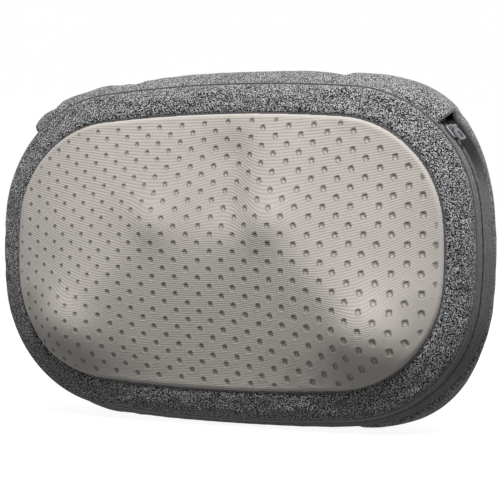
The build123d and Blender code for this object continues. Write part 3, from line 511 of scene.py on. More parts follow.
# ------------------------------------------------------------------ camera, light and stage
CAMERA_AZIMUTH = 24.0
CAMERA_ELEVATION = 1.5
CAMERA_ROLL = 0.15
CAMERA_DISTANCE = 820
CAMERA_LENS = 95.4
AIM = (22, PANEL_Y, CENTRE_Z + 1.6)
SENSOR_WIDTH = 36
KEY = {"place": (0.42, -0.62, 1.32), "aim": (0, 0, 0.1), "size": (0.7, 0.5), "power": 28}
RIM = {"place": (0.10, 0.62, 1.25), "aim": (0, 0.02, 0.2), "size": (0.9, 0.4), "power": 5}
AMBIENT = 0.19
FLOOR_GREY = (0.17, 0.19)
FLOOR_GLOW = 0.92


def make_camera():
    azimuth, elevation = math.radians(CAMERA_AZIMUTH), math.radians(CAMERA_ELEVATION)
    level = math.cos(elevation)
    back = np.array([math.sin(azimuth) * level, -math.cos(azimuth) * level, math.sin(elevation)])
    camera = bpy.data.objects.new("camera", bpy.data.cameras.new("camera"))
    bpy.context.collection.objects.link(camera)
    place = np.array([0, PANEL_Y, CENTRE_Z]) + back * CAMERA_DISTANCE
    camera.location = place * MM
    facing = Vector((np.array(AIM) - place).tolist())
    camera.rotation_mode = "QUATERNION"
    aimed = facing.to_track_quat("-Z", "Y")
    turn = Matrix.Rotation(math.radians(CAMERA_ROLL), 3, "Z").to_quaternion()
    camera.rotation_quaternion = aimed @ turn
    camera.data.lens = CAMERA_LENS
    camera.data.sensor_width = SENSOR_WIDTH
    camera.data.clip_start = 0.01
    bpy.context.scene.camera = camera


def make_light(name, place, aim, size, power):
    """Soft rectangular studio light, in metres and watts."""
    lamp = bpy.data.lights.new(name, "AREA")
    lamp.shape = "RECTANGLE"
    lamp.size, lamp.size_y = size
    lamp.energy = power
    light = bpy.data.objects.new(name, lamp)
    bpy.context.collection.objects.link(light)
    light.location = place
    facing = Vector(aim) - Vector(place)
    light.rotation_mode = "QUATERNION"
    light.rotation_quaternion = facing.to_track_quat("-Z", "Y")


def make_stage():
    """Pale floor that sweeps up into a pale wall all round."""
    floor_r, sweep_r, wall_top, sweep_steps = 2.4, 0.8, 3.0, 12
    profile = [(0.0, 0.0), (floor_r, 0.0)]
    for step in range(1, sweep_steps + 1):
        angle = math.pi / 2 * step / sweep_steps
        profile.append((floor_r + sweep_r * math.sin(angle), sweep_r * (1 - math.cos(angle))))
    profile.append((floor_r + sweep_r, wall_top))
    around = 72
    vertices = [(0, 0, 0)]
    for radius, height in profile[1:]:
        for step in range(around):
            angle = 2 * math.pi * step / around
            vertices.append((radius * math.cos(angle), radius * math.sin(angle), height))
    faces = [(0, 1 + step, 1 + (step + 1) % around) for step in range(around)]
    for ring in range(len(profile) - 2):
        base = 1 + ring * around
        for step in range(around):
            beside = (step + 1) % around
            faces.append((base + step, base + around + step, base + around + beside, base + beside))
    mesh = bpy.data.meshes.new("studio_floor")
    mesh.from_pydata(vertices, [], faces)
    mesh.polygons.foreach_set("use_smooth", [True] * len(mesh.polygons))
    floor = bpy.data.objects.new("studio_floor", mesh)
    bpy.context.collection.objects.link(floor)
    shader = Shader("studio_floor", roughness=0.9)
    darker, lighter = ((grey, grey, grey, 1) for grey in FLOOR_GREY)
    shader.colour(shader.ramp(shader.noise(3), (0.2, darker), (0.8, lighter)))
    shader.surface.inputs["Emission Color"].default_value = (1, 1, 1, 1)
    shader.surface.inputs["Emission Strength"].default_value = FLOOR_GLOW
    mesh.materials.append(shader.material)
    floor.visible_diffuse = False


make_camera()
make_stage()
make_light("key", **KEY)
make_light("rim", **RIM)
world = bpy.data.worlds.new("studio")
world.use_nodes = True
world.node_tree.nodes["Background"].inputs["Color"].default_value = (1, 1, 1, 1)
world.node_tree.nodes["Background"].inputs["Strength"].default_value = AMBIENT
bpy.context.scene.world = world
bpy.context.scene.view_settings.view_transform = "Standard"


# ------------------------------------------------------------------ shared shapes of the cushion
RING = len(outline(PANEL))
CLOTH_THICK = 1.2
TAPE_THICK = 0.8


def band_shape(y):
    """Outline of the sloping band at depth y."""
    return grow(SEAM, (y - SEAM_Y) * BAND_GROW / (GIRTH_Y - SEAM_Y))


def section(y):
    """Ring of points of the cushion's wall at depth y."""
    if y <= SEAM_Y:
        share = (y - PANEL_Y) / (SEAM_Y - PANEL_Y)
        return outline(PANEL) * (1 - share) + outline(SEAM) * share
    if y <= GIRTH_Y:
        return outline(band_shape(y))
    share = (y - GIRTH_Y) / (REAR_Y - GIRTH_Y)
    return outline(band_shape(GIRTH_Y)) * (1 - share) + outline(REAR) * share


def at_depth(flat, y):
    """A ring of (x, z) as points (x, y, z), about the panel's middle."""
    return np.stack([flat[:, 0], np.full(len(flat), float(y)), flat[:, 1]], 1)


def normals(rows):
    """Unit normals of a grid of points whose columns close into a ring, facing out of the cushion."""
    around = np.roll(rows, -1, axis=1) - np.roll(rows, 1, axis=1)
    across = np.gradient(rows, axis=0)
    return unit(np.cross(across, around))


def lift(rows):
    """Points about the panel's middle to the row frame."""
    return rows + [0, 0, CENTRE_Z]


def ring_track(rows):
    """Distance along each ring, and distance across from the first row, in millimetres."""
    around = np.linalg.norm(np.roll(rows, -1, axis=1) - rows, axis=2)
    along = np.cumsum(around, axis=1) - around
    across = np.concatenate([np.zeros((1, rows.shape[1])), np.linalg.norm(np.diff(rows, axis=0), axis=2)])
    return along, np.cumsum(across, axis=0)


def skin(name, rows, thickness, keep=None, fold=0.0):
    """A cloth over a grid of points whose columns close into a ring. keep says which faces there are, and
    fold how much painted shade each point gets.
    """
    count_rows, count = rows.shape[:2]
    index = np.arange(count_rows * count).reshape(count_rows, count)
    beside = np.roll(index, -1, axis=1)
    quads = np.stack([index[:-1], index[1:], beside[1:], beside[:-1]], 2)
    quads = quads.reshape(-1, 4) if keep is None else quads[keep]
    used, flat = np.unique(quads, return_inverse=True)
    quads = flat.reshape(-1, 4)
    piece = mesh_piece(name, lift(rows).reshape(-1, 3)[used], quads.tolist())
    along, across = ring_track(rows)
    place = np.stack([along, across], 2).reshape(-1, 2)[used]
    length = along[0, -1] + np.linalg.norm(rows[0, 0] - rows[0, -1])
    layer = piece.data.uv_layers.new(name="fabric")
    corners = place[quads.reshape(-1)].reshape(-1, 4, 2)
    wraps = corners[:, :, 0].max(1) - corners[:, :, 0].min(1) > length / 2
    corners[..., 0] += np.where(wraps[:, None] & (corners[..., 0] < length / 2), length, 0)
    layer.data.foreach_set("uv", corners.ravel())
    depth = piece.data.attributes.new("fold", "FLOAT", "POINT")
    depth.data.foreach_set("value", np.broadcast_to(fold, rows.shape[:2]).reshape(-1)[used].astype(float))
    wall = piece.modifiers.new("thickness", "SOLIDIFY")
    wall.thickness = thickness * MM
    wall.offset = -1
    return piece


def tube(points, radius, sides=6, closed=False):
    """Vertices and faces of a tube along points, ready for joining."""
    points = np.asarray(points, float)
    if closed:
        tangent = np.roll(points, -1, axis=0) - np.roll(points, 1, axis=0)
    else:
        tangent = np.gradient(points, axis=0)
    tangent = unit(tangent)
    side = unit(np.cross(tangent, [0.03, 1.0, 0.02]))
    up = np.cross(tangent, side)
    angle = np.linspace(0, 2 * math.pi, sides, endpoint=False)
    radius = np.broadcast_to(radius, len(points))[:, None, None]
    turned = np.cos(angle)[None, :, None] * side[:, None] + np.sin(angle)[None, :, None] * up[:, None]
    vertices = (points[:, None] + radius * turned).reshape(-1, 3)
    faces = []
    runs = len(points) if closed else len(points) - 1
    for run in range(runs):
        ahead = (run + 1) % len(points)
        for step in range(sides):
            beside = (step + 1) % sides
            near, far = run * sides, ahead * sides
            faces.append((near + step, near + beside, far + beside, far + step))
    if not closed:
        faces.append(tuple(range(sides - 1, -1, -1)))
        faces.append(tuple(range(runs * sides, runs * sides + sides)))
    return vertices, faces


def joined(name, parts):
    """One mesh from (vertices, faces) parts, in millimetres in the row frame."""
    vertices, faces, start = [], [], 0
    for some_vertices, some_faces in parts:
        vertices.append(some_vertices)
        faces.extend(tuple(number + start for number in face) for face in some_faces)
        start += len(some_vertices)
    return mesh_piece(name, np.concatenate(vertices), faces)


def stitch_line(path, length, gap, radius):
    """Stitches along a path of points: short threads, thinner at both ends."""
    path = np.asarray(path, float)
    steps = np.concatenate([[0], np.cumsum(np.linalg.norm(np.diff(path, axis=0), axis=1))])
    parts = []
    count = int((steps[-1] - gap) / (length + gap))
    pitch = (steps[-1] - gap) / max(count, 1)
    for number in range(count):
        at = gap + number * pitch + np.linspace(0, pitch - gap, 5)
        line = np.stack([np.interp(at, steps, path[:, axis]) for axis in range(3)], 1)
        thick = radius * np.array([0.45, 0.95, 1.0, 0.95, 0.45])
        parts.append(tube(line, thick, 6))
    return parts


# ------------------------------------------------------------------ mesh panel over the massage heads
GRID = 0.75                 # spacing of the panel's mesh
SNAP = 0.4                  # grid points this share of the spacing inside an outline move onto it,
REACH = 0.62                # and so do points this share outside it
# The cloth is tightened on coarse grids first, each with its stride and rounds.
PASSES = ((8, 500), (4, 500), (2, 100), (1, 100))
SMOOTH_ROUNDS = 120
UPPER_BUMP = 17.0           # how far the cloth stands out past the panel's edge over the upper heads,
LOWER_BUMP = 19.5           # and over the lower heads
BUMP_R = 32.0
RIDGE_R = 40.0
PAD_GAP = 2.6               # least cover over the space the heads sweep
SWEEP_GROW = 1.2            # the swept space is wider than the heads by this much
ARM_DROP = 1.6              # between two heads the cloth lies this far below their bumps
ARM_SAG = 1.0
SIDE_RISE = 28.0            # the folds from the lower heads climb this far to the panel's sides
SIDE_DROP = 0.6
NO_FLOOR = -50.0            # a height far below the cloth
CREASE_X = 14               # upright crease between the two pairs of heads
CREASE_DEPTH = 4.0
CREASE_LEFT, CREASE_RIGHT = 24, 9
CREASE_FOOT, CREASE_HEAD = (4, 34), 56
EDGE_SINK = 1.5             # depth of the seam round the panel
EDGE_RISE = 1.1             # the cloth rolls out of the seam to this height
EDGE_WIDTH = 2.8
DIMPLE_ACROSS = 15.6        # pitches in the panel's middle; the cloth is stretched wider to the right
DIMPLE_UP = 5.3
STRETCH_ACROSS = 0.0125     # growth of each pitch per millimetre
STRETCH_UP = 0.0031
DIMPLE_HALF = (1.4, 1.75)
DIMPLE_CORNER = 0.8
DIMPLE_GROWTH = 0.0016      # growth of a dimple per millimetre
DIMPLE_DEPTH = 1.0
DIMPLE_TURN = 14            # degrees
TURN_SPREAD = 26
PAD_STRIDE = 4              # the head pad's mesh is coarser than the panel's
PAD_INSET = 14
PAD_THICK = 3.2             # from the cloth's own height
PAD_LEAST = 1.2
PAD_CLEAR = 0.5             # from the space the heads sweep


def head_places(side):
    """The two heads of one carrier as (x, z from the panel's middle, cloth height)."""
    places = []
    for level, bump in (("upper", UPPER_BUMP), ("lower", LOWER_BUMP)):
        low, high = box(f"massage_head_{level}_{side}")
        places.append(((low[0] + high[0]) / 2, (low[2] + high[2]) / 2 - CENTRE_Z, bump))
    return places


def sphere_cap(away, top, radius):
    """Height of a ball's front, far below the cloth outside the ball."""
    return np.where(away < radius, top - radius + np.sqrt(np.maximum(radius**2 - away**2, 0)), NO_FLOOR)


def swept_height(x, z, heads, cover):
    """Height of the space that a carrier's heads sweep, with cover on top of it."""
    head_low, head_high = box("massage_head_lower_left")
    dome_r = (head_high[0] - head_low[0]) / 2 + SWEEP_GROW
    (first_x, first_z, _), (second_x, second_z, _) = heads
    orbit_r = math.hypot(first_x - second_x, first_z - second_z) / 2
    from_axis = np.hypot(x - (first_x + second_x) / 2, z - (first_z + second_z) / 2)
    return sphere_cap(np.abs(from_axis - orbit_r), PANEL_Y - head_low[1] + cover, dome_r)


def arm_ridge(x, z, heads):
    """Height of the ridge between a carrier's two heads."""
    start, end = (np.array(head[:2]) for head in heads)
    run = end - start
    share = np.clip(((x - start[0]) * run[0] + (z - start[1]) * run[1]) / (run @ run), 0, 1)
    away = np.hypot(x - start[0] - share * run[0], z - start[1] - share * run[1])
    top = heads[0][2] + (heads[1][2] - heads[0][2]) * share - ARM_DROP - ARM_SAG * np.sin(math.pi * share)
    return sphere_cap(away, 0, RIDGE_R) + top


def side_ridge(x, z, head):
    """Height of the fold that runs from a lower head up to the panel's side."""
    head_x, head_z, bump = head
    edge_x = math.copysign(PANEL[0], head_x)
    share = np.clip((x - head_x) / (edge_x - head_x), 0, 1)
    away = np.abs(z - head_z - SIDE_RISE * share)
    ridge = sphere_cap(away, 0, RIDGE_R) + (bump - SIDE_DROP) * (1 - share)
    return np.where(share > 0, ridge, NO_FLOOR)


def cloth_floor(x, z):
    """What the cloth rests on: the heads, the arms between them and the space the heads sweep."""
    floor = np.full(x.shape, NO_FLOOR)
    for side in ("left", "right"):
        heads = head_places(side)
        for head_x, head_z, bump in heads:
            floor = np.maximum(floor, sphere_cap(np.hypot(x - head_x, z - head_z), bump, BUMP_R))
        floor = np.maximum(floor, arm_ridge(x, z, heads))
        floor = np.maximum(floor, swept_height(x, z, heads, PAD_GAP))
        floor = np.maximum(floor, side_ridge(x, z, heads[1]))
    return floor


def neighbours_mean(values):
    """Mean of the four neighbours of each inner point of a grid."""
    return (values[:-2, 1:-1] + values[2:, 1:-1] + values[1:-1, :-2] + values[1:-1, 2:]) / 4


def relax(height, floor, free, rounds):
    """Tightens a cloth over its floor: a free point goes to its neighbours' mean, or stays on the floor."""
    for _ in range(rounds):
        mean = height.copy()
        mean[1:-1, 1:-1] = neighbours_mean(height)
        height = np.where(free, np.maximum(mean, floor), height)
    return height


def refined(values, shape):
    """The grid at twice the fineness, cut to shape."""
    rows = np.minimum(np.arange(shape[0]) / 2, values.shape[0] - 1)
    columns = np.minimum(np.arange(shape[1]) / 2, values.shape[1] - 1)
    by_row = values[np.floor(rows).astype(int)] + values[np.ceil(rows).astype(int)]
    by_both = by_row[:, np.floor(columns).astype(int)] + by_row[:, np.ceil(columns).astype(int)]
    return by_both / 4


def smooth(values, rounds):
    """Rounds off creases."""
    for _ in range(rounds):
        mean = neighbours_mean(values)
        values = values.copy()
        values[1:-1, 1:-1] = (values[1:-1, 1:-1] + mean) / 2
    return values


def panel_grid():
    """Coordinates of a square grid over the panel and the stretched cloth's height on it."""
    coarsest = PASSES[0][0]
    columns, rows = (int(math.ceil(half / GRID / coarsest)) * 2 * coarsest + 1 for half in PANEL[:2])
    x, z = np.meshgrid((np.arange(columns) - columns // 2) * GRID, (np.arange(rows) - rows // 2) * GRID)
    height = None
    for stride, rounds in PASSES:
        coarse_x, coarse_z = x[::stride, ::stride], z[::stride, ::stride]
        free = outside(PANEL, coarse_x, coarse_z) < 0
        floor = cloth_floor(coarse_x, coarse_z)
        height = np.zeros(coarse_x.shape) if height is None else refined(height, coarse_x.shape)
        height = relax(np.where(free, height, 0), floor, free, rounds)
    aside = x - CREASE_X
    crease = CREASE_DEPTH * np.exp(-(aside / np.where(aside < 0, CREASE_LEFT, CREASE_RIGHT)) ** 2)
    crease = crease * smoothstep(*CREASE_FOOT, z) * (1 - smoothstep(CREASE_HEAD, PANEL[1] - 2, z))
    return x, z, smooth(height - crease, SMOOTH_ROUNDS)


def cut_grid(x, z, shape, spacing):
    """A square grid cut to an outline: x and z, which points lie on the border, which are used, and faces."""
    distance = outside(shape, x, z)
    step = 0.05
    slope_x = (outside(shape, x + step, z) - distance) / step
    slope_z = (outside(shape, x, z + step) - distance) / step
    border = distance > -SNAP * spacing
    used = distance < REACH * spacing
    x = np.where(border, x - slope_x * distance, x)
    z = np.where(border, z - slope_z * distance, z)
    index = np.full(x.shape, -1)
    index[used] = np.arange(used.sum())
    corners = np.stack([index[:-1, :-1], index[:-1, 1:], index[1:, 1:], index[1:, :-1]], 2).reshape(-1, 4)
    faces = [[int(number) for number in quad if number >= 0] for quad in corners]
    return x, z, border, used, [face for face in faces if len(face) >= 3]


def hashed(row, column):
    """A repeatable number from 0 to 1 for each row and column."""
    value = np.sin(row * 12.9898 + column * 78.233) * 43758.5453
    return value - np.floor(value)


def dimples(x, z):
    """0 on the cloth to 1 in the bottom of a dimple, and the distance to the nearest dimple's edge."""
    pitch_x, pitch_z = DIMPLE_ACROSS + STRETCH_ACROSS * x, DIMPLE_UP + STRETCH_UP * x
    cloth_x = np.log(pitch_x / DIMPLE_ACROSS) / STRETCH_ACROSS
    cloth_z = z / pitch_z
    row = np.round(cloth_z)
    shift = np.where(row % 2 == 0, 0.0, 0.5)
    column = np.round(cloth_x - shift)
    jitter = hashed(row, column)
    turn = np.radians(DIMPLE_TURN + TURN_SPREAD * (jitter - 0.5))
    local_x = (cloth_x - shift - column) * pitch_x + 0.8 * (jitter - 0.5)
    local_z = (cloth_z - row) * pitch_z + 0.5 * ((jitter * 7) % 1 - 0.5)
    across = local_x * np.cos(turn) + local_z * np.sin(turn)
    up = local_z * np.cos(turn) - local_x * np.sin(turn)
    size = 0.92 + DIMPLE_GROWTH * x
    edge_x = np.abs(across) - DIMPLE_HALF[0] * size + DIMPLE_CORNER
    edge_z = np.abs(up) - DIMPLE_HALF[1] * size + DIMPLE_CORNER
    past_corner = np.hypot(np.maximum(edge_x, 0), np.maximum(edge_z, 0))
    away = past_corner + np.minimum(np.maximum(edge_x, edge_z), 0) - DIMPLE_CORNER
    return 1 - smoothstep(-0.9, 0.4, away), away


def make_panel(x, z, height):
    """The mesh panel, rolled out of its seam, with puckers along the seam and stamped dimples."""
    x, z, border, used, faces = cut_grid(x, z, PANEL, GRID)
    inward = np.maximum(-outside(PANEL, x, z), 0)
    height = np.where(border, 0, height)
    rolled = (EDGE_SINK + EDGE_RISE) * quarter_round(inward / EDGE_WIDTH) - EDGE_SINK
    pit, away = dimples(x, z)
    fade = smoothstep(2.5, 5.5, inward)
    rim = 0.14 * np.exp(-((away - 0.75) / 0.5) ** 2)
    pucker = 0.30 * ripple(x, z, [(12, 26)], 4) * np.exp(-((inward - 5) / 5) ** 2)
    front = height + rolled + pucker * smoothstep(0, 3, inward) + fade * (rim - DIMPLE_DEPTH * pit)
    vertices = np.stack([x[used], PANEL_Y - front[used], z[used] + CENTRE_Z], 1)
    piece = mesh_piece("mesh_cover", vertices, faces)
    loops = np.empty(len(piece.data.loops), dtype=int)
    piece.data.loops.foreach_get("vertex_index", loops)
    layer = piece.data.uv_layers.new(name="fabric")
    rib_place = (z + 1.6 * height)[used]
    layer.data.foreach_set("uv", np.stack([x[used], rib_place], 1)[loops].ravel())
    attribute = piece.data.attributes.new("dimple", "FLOAT", "POINT")
    attribute.data.foreach_set("value", (pit * fade)[used])
    dress(piece, "mesh_knit", "mesh_panel")


def open_edges(faces):
    """The sides of faces that no other face shares."""
    sides = {}
    for face in faces:
        for first, second in zip(face, face[1:] + face[:1]):
            if (second, first) in sides:
                del sides[(second, first)]
            else:
                sides[(first, second)] = True
    return list(sides)


def make_head_pad(x, z, height):
    """Foam sheet between the cloth and the heads. It follows the cloth, clear of the heads' sweep."""
    x, z, height = (grid[::PAD_STRIDE, ::PAD_STRIDE] for grid in (x, z, height))
    shape = grow(PANEL, -PAD_INSET)
    x, z, _, used, front_faces = cut_grid(x, z, shape, GRID * PAD_STRIDE)
    swept = np.maximum(*(swept_height(x, z, head_places(side), 0) for side in ("left", "right")))
    front = height - DIMPLE_DEPTH - 0.25
    front = front - 0.5 * (1 - quarter_round(-outside(shape, x, z) / 4))
    back = np.maximum(np.minimum(front - PAD_LEAST, height - PAD_THICK), swept + PAD_CLEAR)
    back = np.minimum(back, front - 0.5)
    count = int(used.sum())
    back_faces = [[number + count for number in reversed(face)] for face in front_faces]
    walls = [[second, first, first + count, second + count] for first, second in open_edges(front_faces)]
    levels = [np.stack([x[used], PANEL_Y - level[used], z[used] + CENTRE_Z], 1) for level in (front, back)]
    piece = mesh_piece("head_pad_foam", np.concatenate(levels), front_faces + back_faces + walls)
    dress(piece, "foam", "head_pad")


stretched_cloth = panel_grid()
make_panel(*stretched_cloth)
make_head_pad(*stretched_cloth)


# ------------------------------------------------------------------ cloth simulation of the cover
def simulate(rows, pinned, cap, pressure=4.0, slack=0.03, frames=20):
    """Swells a ring-shaped cloth with air from inside. Pinned points stay; the others move at most cap."""
    count_rows, count = rows.shape[:2]
    index = np.arange(count_rows * count).reshape(count_rows, count)
    beside = np.roll(index, -1, axis=1)
    quads = np.stack([index[:-1], index[1:], beside[1:], beside[:-1]], 2).reshape(-1, 4)
    mesh = bpy.data.meshes.new("swelling_cloth")
    mesh.from_pydata((lift(rows).reshape(-1, 3) * MM).tolist(), [], quads.tolist())
    cloth = bpy.data.objects.new("swelling_cloth", mesh)
    bpy.context.collection.objects.link(cloth)
    group = cloth.vertex_groups.new(name="pinned")
    group.add(np.flatnonzero(pinned).tolist(), 1.0, "REPLACE")
    modifier = cloth.modifiers.new("cloth", "CLOTH")
    settings = modifier.settings
    settings.quality = 5
    settings.mass = 0.3
    settings.tension_stiffness = settings.compression_stiffness = 15
    settings.shear_stiffness = 8
    settings.bending_stiffness = 0.6
    settings.use_pressure = True
    settings.uniform_pressure_force = pressure
    settings.vertex_group_mass = "pinned"
    settings.shrink_min = -slack
    settings.effector_weights.gravity = 0
    modifier.collision_settings.use_collision = False
    modifier.point_cache.frame_start = 1
    modifier.point_cache.frame_end = frames
    scene = bpy.context.scene
    for frame_number in range(1, frames + 1):
        scene.frame_set(frame_number)
    swollen = cloth.evaluated_get(bpy.context.evaluated_depsgraph_get()).to_mesh()
    places = np.empty(len(swollen.vertices) * 3)
    swollen.vertices.foreach_get("co", places)
    moved = places.reshape(rows.shape) / MM - lift(rows)
    bpy.data.objects.remove(cloth)
    scene.frame_set(1)
    far = np.linalg.norm(moved, axis=2, keepdims=True)
    soft = cap * np.tanh(far / cap)
    return moved * soft / np.maximum(far, 1e-9)


def spread(moved, shape):
    """Moves of a coarse ring grid carried over to a finer one."""
    rows = np.linspace(0, moved.shape[0] - 1, shape[0])
    row = np.minimum(rows.astype(int), moved.shape[0] - 2)
    down = (rows - row)[:, None, None]
    by_row = moved[row] * (1 - down) + moved[row + 1] * down
    columns = np.arange(shape[1]) * moved.shape[1] / shape[1]
    column = columns.astype(int)
    right = (columns - column)[None, :, None]
    return by_row[:, column] * (1 - right) + by_row[:, (column + 1) % moved.shape[1]] * right


# ------------------------------------------------------------------ heather border round the panel
BORDER_CROWN = 3.6
BORDER_CAP = 1.3            # most that the cloth simulation moves a point


def make_border():
    """The padded heather border, rolled under at the panel's seam and at the zip's seam."""
    share = np.linspace(0, 1, 33)[:, None]
    inner, outer = at_depth(outline(PANEL), PANEL_Y + EDGE_SINK), at_depth(outline(SEAM), STITCH_Y)
    rows = inner[None] * (1 - share[..., None]) + outer[None] * share[..., None]
    normal = normals(rows)
    along, across = ring_track(rows)
    crown = BORDER_CROWN * (1 - np.abs(2 * share - 1) ** 3.4) ** 0.85
    rows = rows + normal * crown[..., None]
    coarse = rows[::4, ::4]
    pinned = np.zeros(coarse.shape[:2], bool)
    pinned[[0, -1]] = True
    moved = spread(simulate(coarse, pinned, BORDER_CAP), rows.shape)
    rows = rows + moved * np.sin(math.pi * share)[..., None] ** 1.6
    near_seam = np.exp(-((1 - share) / 0.14) ** 2) + np.exp(-(share / 0.14) ** 2)
    pucker = 0.26 * ripple(along, across, [(6, 12)], 7) * near_seam
    pucker = pucker + 0.35 * ripple(along, across, [(30, 80)], 8)
    rows = rows + normal * (pucker * np.sin(math.pi * share) ** 0.5)[..., None]
    rows[..., 2] = np.maximum(rows[..., 2], 0.2 - CENTRE_Z)
    piece = skin("border_cloth", rows, CLOTH_THICK)
    dress(piece, "heather_knit", "front_cover")
    # dark cords laid in the two seams' grooves: painted shade in the grooves, drawn as thread
    for name, seam, forward in (("panel_seam_shade", inner, 0.3), ("border_seam_shade", outer, 0.9)):
        path = lift(seam) - [0, forward, 0]
        seam_shade_cord = joined(name, [tube(path, 0.75, 6, closed=True)])
        seam_shade_cord.data.materials.append(DARK_THREAD_AND_SEAM_SHADE)


make_border()


# ------------------------------------------------------------------ rear cloth with the gusset over the top
ZIP_END_ANGLE = 44
GUSSET_BLEND = 3.0
ZIP_TUCK = 1.5              # the zip runs on this far under the gusset's ends, in degrees
CORNER_X, CORNER_Z = corner_centre(SEAM)


def track_angle(ring):
    """Direction of ring points from the corner arc's centre, in degrees, 90 over the middle of the top."""
    x, z = np.abs(ring[:, 0]), ring[:, 1]
    angle = np.degrees(np.arctan2(z - CORNER_Z, np.maximum(x - CORNER_X, 0)))
    return np.where(z < CORNER_Z, -90, angle)


def gusset_share(ring):
    """1 in the gusset over the top, 0 along the zip."""
    return smoothstep(ZIP_END_ANGLE - GUSSET_BLEND, ZIP_END_ANGLE + GUSSET_BLEND, track_angle(ring))


def fold_shade_share(angle):
    """1 in the deep fold behind the zip's closed end, where shade is painted; the rear cloth also dips there.
    """
    return smoothstep(6, 30, angle) * (1 - smoothstep(ZIP_END_ANGLE + 1, ZIP_END_ANGLE + 3, angle))


BAND_ROWS = 9               # rows of the grid over the band, round the side wall and across the back
SIDE_ROWS = 30
BACK_ROWS = 22
GIRTH_ROW = BAND_ROWS - 1
WALL_END = GIRTH_ROW + 22   # the side wall has turned into the back here
PINNED_ROWS = 18            # the last rows lie flat on the back
SPINE = 96
TOP_SWELL = 2.8
SIDE_SWELL = 1.6
REAR_CAP = 1.6              # most that the cloth simulation moves a point
EAR = 4.5                   # how far the gusset's ends bulge past the zip
EAR_FADE = (52, 74)         # the bulge dies away between these track angles
FOLD_DIP = 1.6
CONTROL_PLACE = np.array([-(REAR[0] + band_shape(GIRTH_Y)[0]) / 2, (GIRTH_Y + REAR_Y) / 2, 0.0])
CONTROL_REACH = (30, 22, 36)        # the cloth lies quiet round the control pod, this far each way
CONTROL_OPENING = (30, 6.2, 21.5)


def rear_profile():
    """Grid from the border's seam over the band, round the side wall and across the back to a spine."""
    band = [at_depth(section(y), y)[::2] for y in np.linspace(SEAM_Y, GIRTH_Y, BAND_ROWS)]
    girth, rear = band[-1], at_depth(outline(REAR), REAR_Y)[::2]
    edge = at_depth(outline(grow(REAR, -10)), BACK_Y)[::2]
    keys = [girth, girth * 0.5 + rear * 0.5, rear, edge, edge * [0.9, 1, 0.85]]
    for _ in range(3):
        cut = [keys[0]]
        for first, second in zip(keys, keys[1:]):
            cut += [first * 0.75 + second * 0.25, first * 0.25 + second * 0.75]
        keys = cut + [keys[-1]]
    keys = np.array(keys)
    steps = np.linalg.norm(np.diff(keys, axis=0), axis=2)
    length = np.concatenate([np.zeros((1, steps.shape[1])), np.cumsum(steps, axis=0)])
    side = np.empty((SIDE_ROWS, steps.shape[1], 3))
    for column in range(steps.shape[1]):
        at = np.linspace(0, length[-1, column], SIDE_ROWS)
        for axis in range(3):
            side[:, column, axis] = np.interp(at, length[:, column], keys[:, column, axis])
    spine = side[-1] * [0, 1, 0]
    spine[:, 0] = np.clip(side[-1][:, 0], -SPINE, SPINE)
    shares = np.linspace(0, 1, BACK_ROWS + 1)[1:, None, None]
    back = side[-1][None] * (1 - shares) + spine[None] * shares
    return np.concatenate([np.array(band)[:-1], side, back])


def round_gusset(rows, gusset):
    """Rounds off the band's ridge where the gusset runs over it."""
    hold = np.zeros(rows.shape[:2])
    hold[1:GIRTH_ROW + 5] = gusset
    for _ in range(14):
        mean = (rows[:-2] + rows[2:]) / 2
        rows[1:-1] += 0.5 * hold[1:-1, :, None] * (mean - rows[1:-1])


def swelling(share, height, tuck, tuck_width):
    """Swelling across a strip of cloth that is tucked in at its first seam."""
    return height * np.sin(math.pi * share) ** 0.7 - tuck * np.exp(-(share / tuck_width) ** 2)


def blown_up(rows, gusset, quiet, number):
    """What the cloth simulation moves each point, with the zip, the control pod and the back held."""
    coarse = rows[::2, ::3]
    pinned = np.zeros(coarse.shape[:2], bool)
    pinned[0] = True
    pinned[:GIRTH_ROW // 2 + 1, gusset[::3] < 0.5] = True
    pinned[(len(rows) - PINNED_ROWS) // 2:] = True
    pinned |= quiet[::2, ::3] < 0.4
    moved = spread(simulate(coarse, pinned, REAR_CAP, pressure=3.0), rows.shape)
    return moved * (quiet * smoothstep(0, 6, number))[..., None]


def wrinkles(normal, track, gusset, quiet, number):
    """Moves for small folds beside the girth's seam and long waves over the sides, none on the flat back."""
    along, across = track
    past_girth = number - GIRTH_ROW
    back_share = np.clip((number - WALL_END) / (len(number) - WALL_END), 0, 1)
    wrinkle = 0.30 * ripple(along, across, [(9, 16)], 21) * np.exp(-np.abs(past_girth) / 4)
    wrinkle = wrinkle + 0.45 * ripple(along, across, [(35, 90)], 22) * (1 - back_share)
    loose = np.where(past_girth <= 0, gusset, 1) * np.minimum(number / 2, 1) * quiet
    loose = loose * np.where(gusset > 0.5, 1, np.minimum(np.abs(past_girth) / 2, 1))
    return normal * (wrinkle * loose)[..., None]


def gusset_ends(rows, normal, number):
    """The grid with the gusset's ends bulging, and how deep each point is in the fold behind the zip, which
    sets the cloth's dip and its painted shade there.
    """
    angle = track_angle(rows[GIRTH_ROW][:, [0, 2]])
    ear = smoothstep(ZIP_END_ANGLE - 2, ZIP_END_ANGLE + ZIP_TUCK, angle) * (1 - smoothstep(*EAR_FADE, angle))
    ear = ear * np.exp(-((number - 0.7 * GIRTH_ROW) / 5) ** 2) * np.minimum(number / 2, 1)
    bulged = rows + normal * (EAR * ear)[..., None]
    behind_zip = (1 - smoothstep(3, 15, bulged[..., 1])) * (bulged[..., 1] > GIRTH_Y - 0.5)
    return bulged, fold_shade_share(angle) * behind_zip


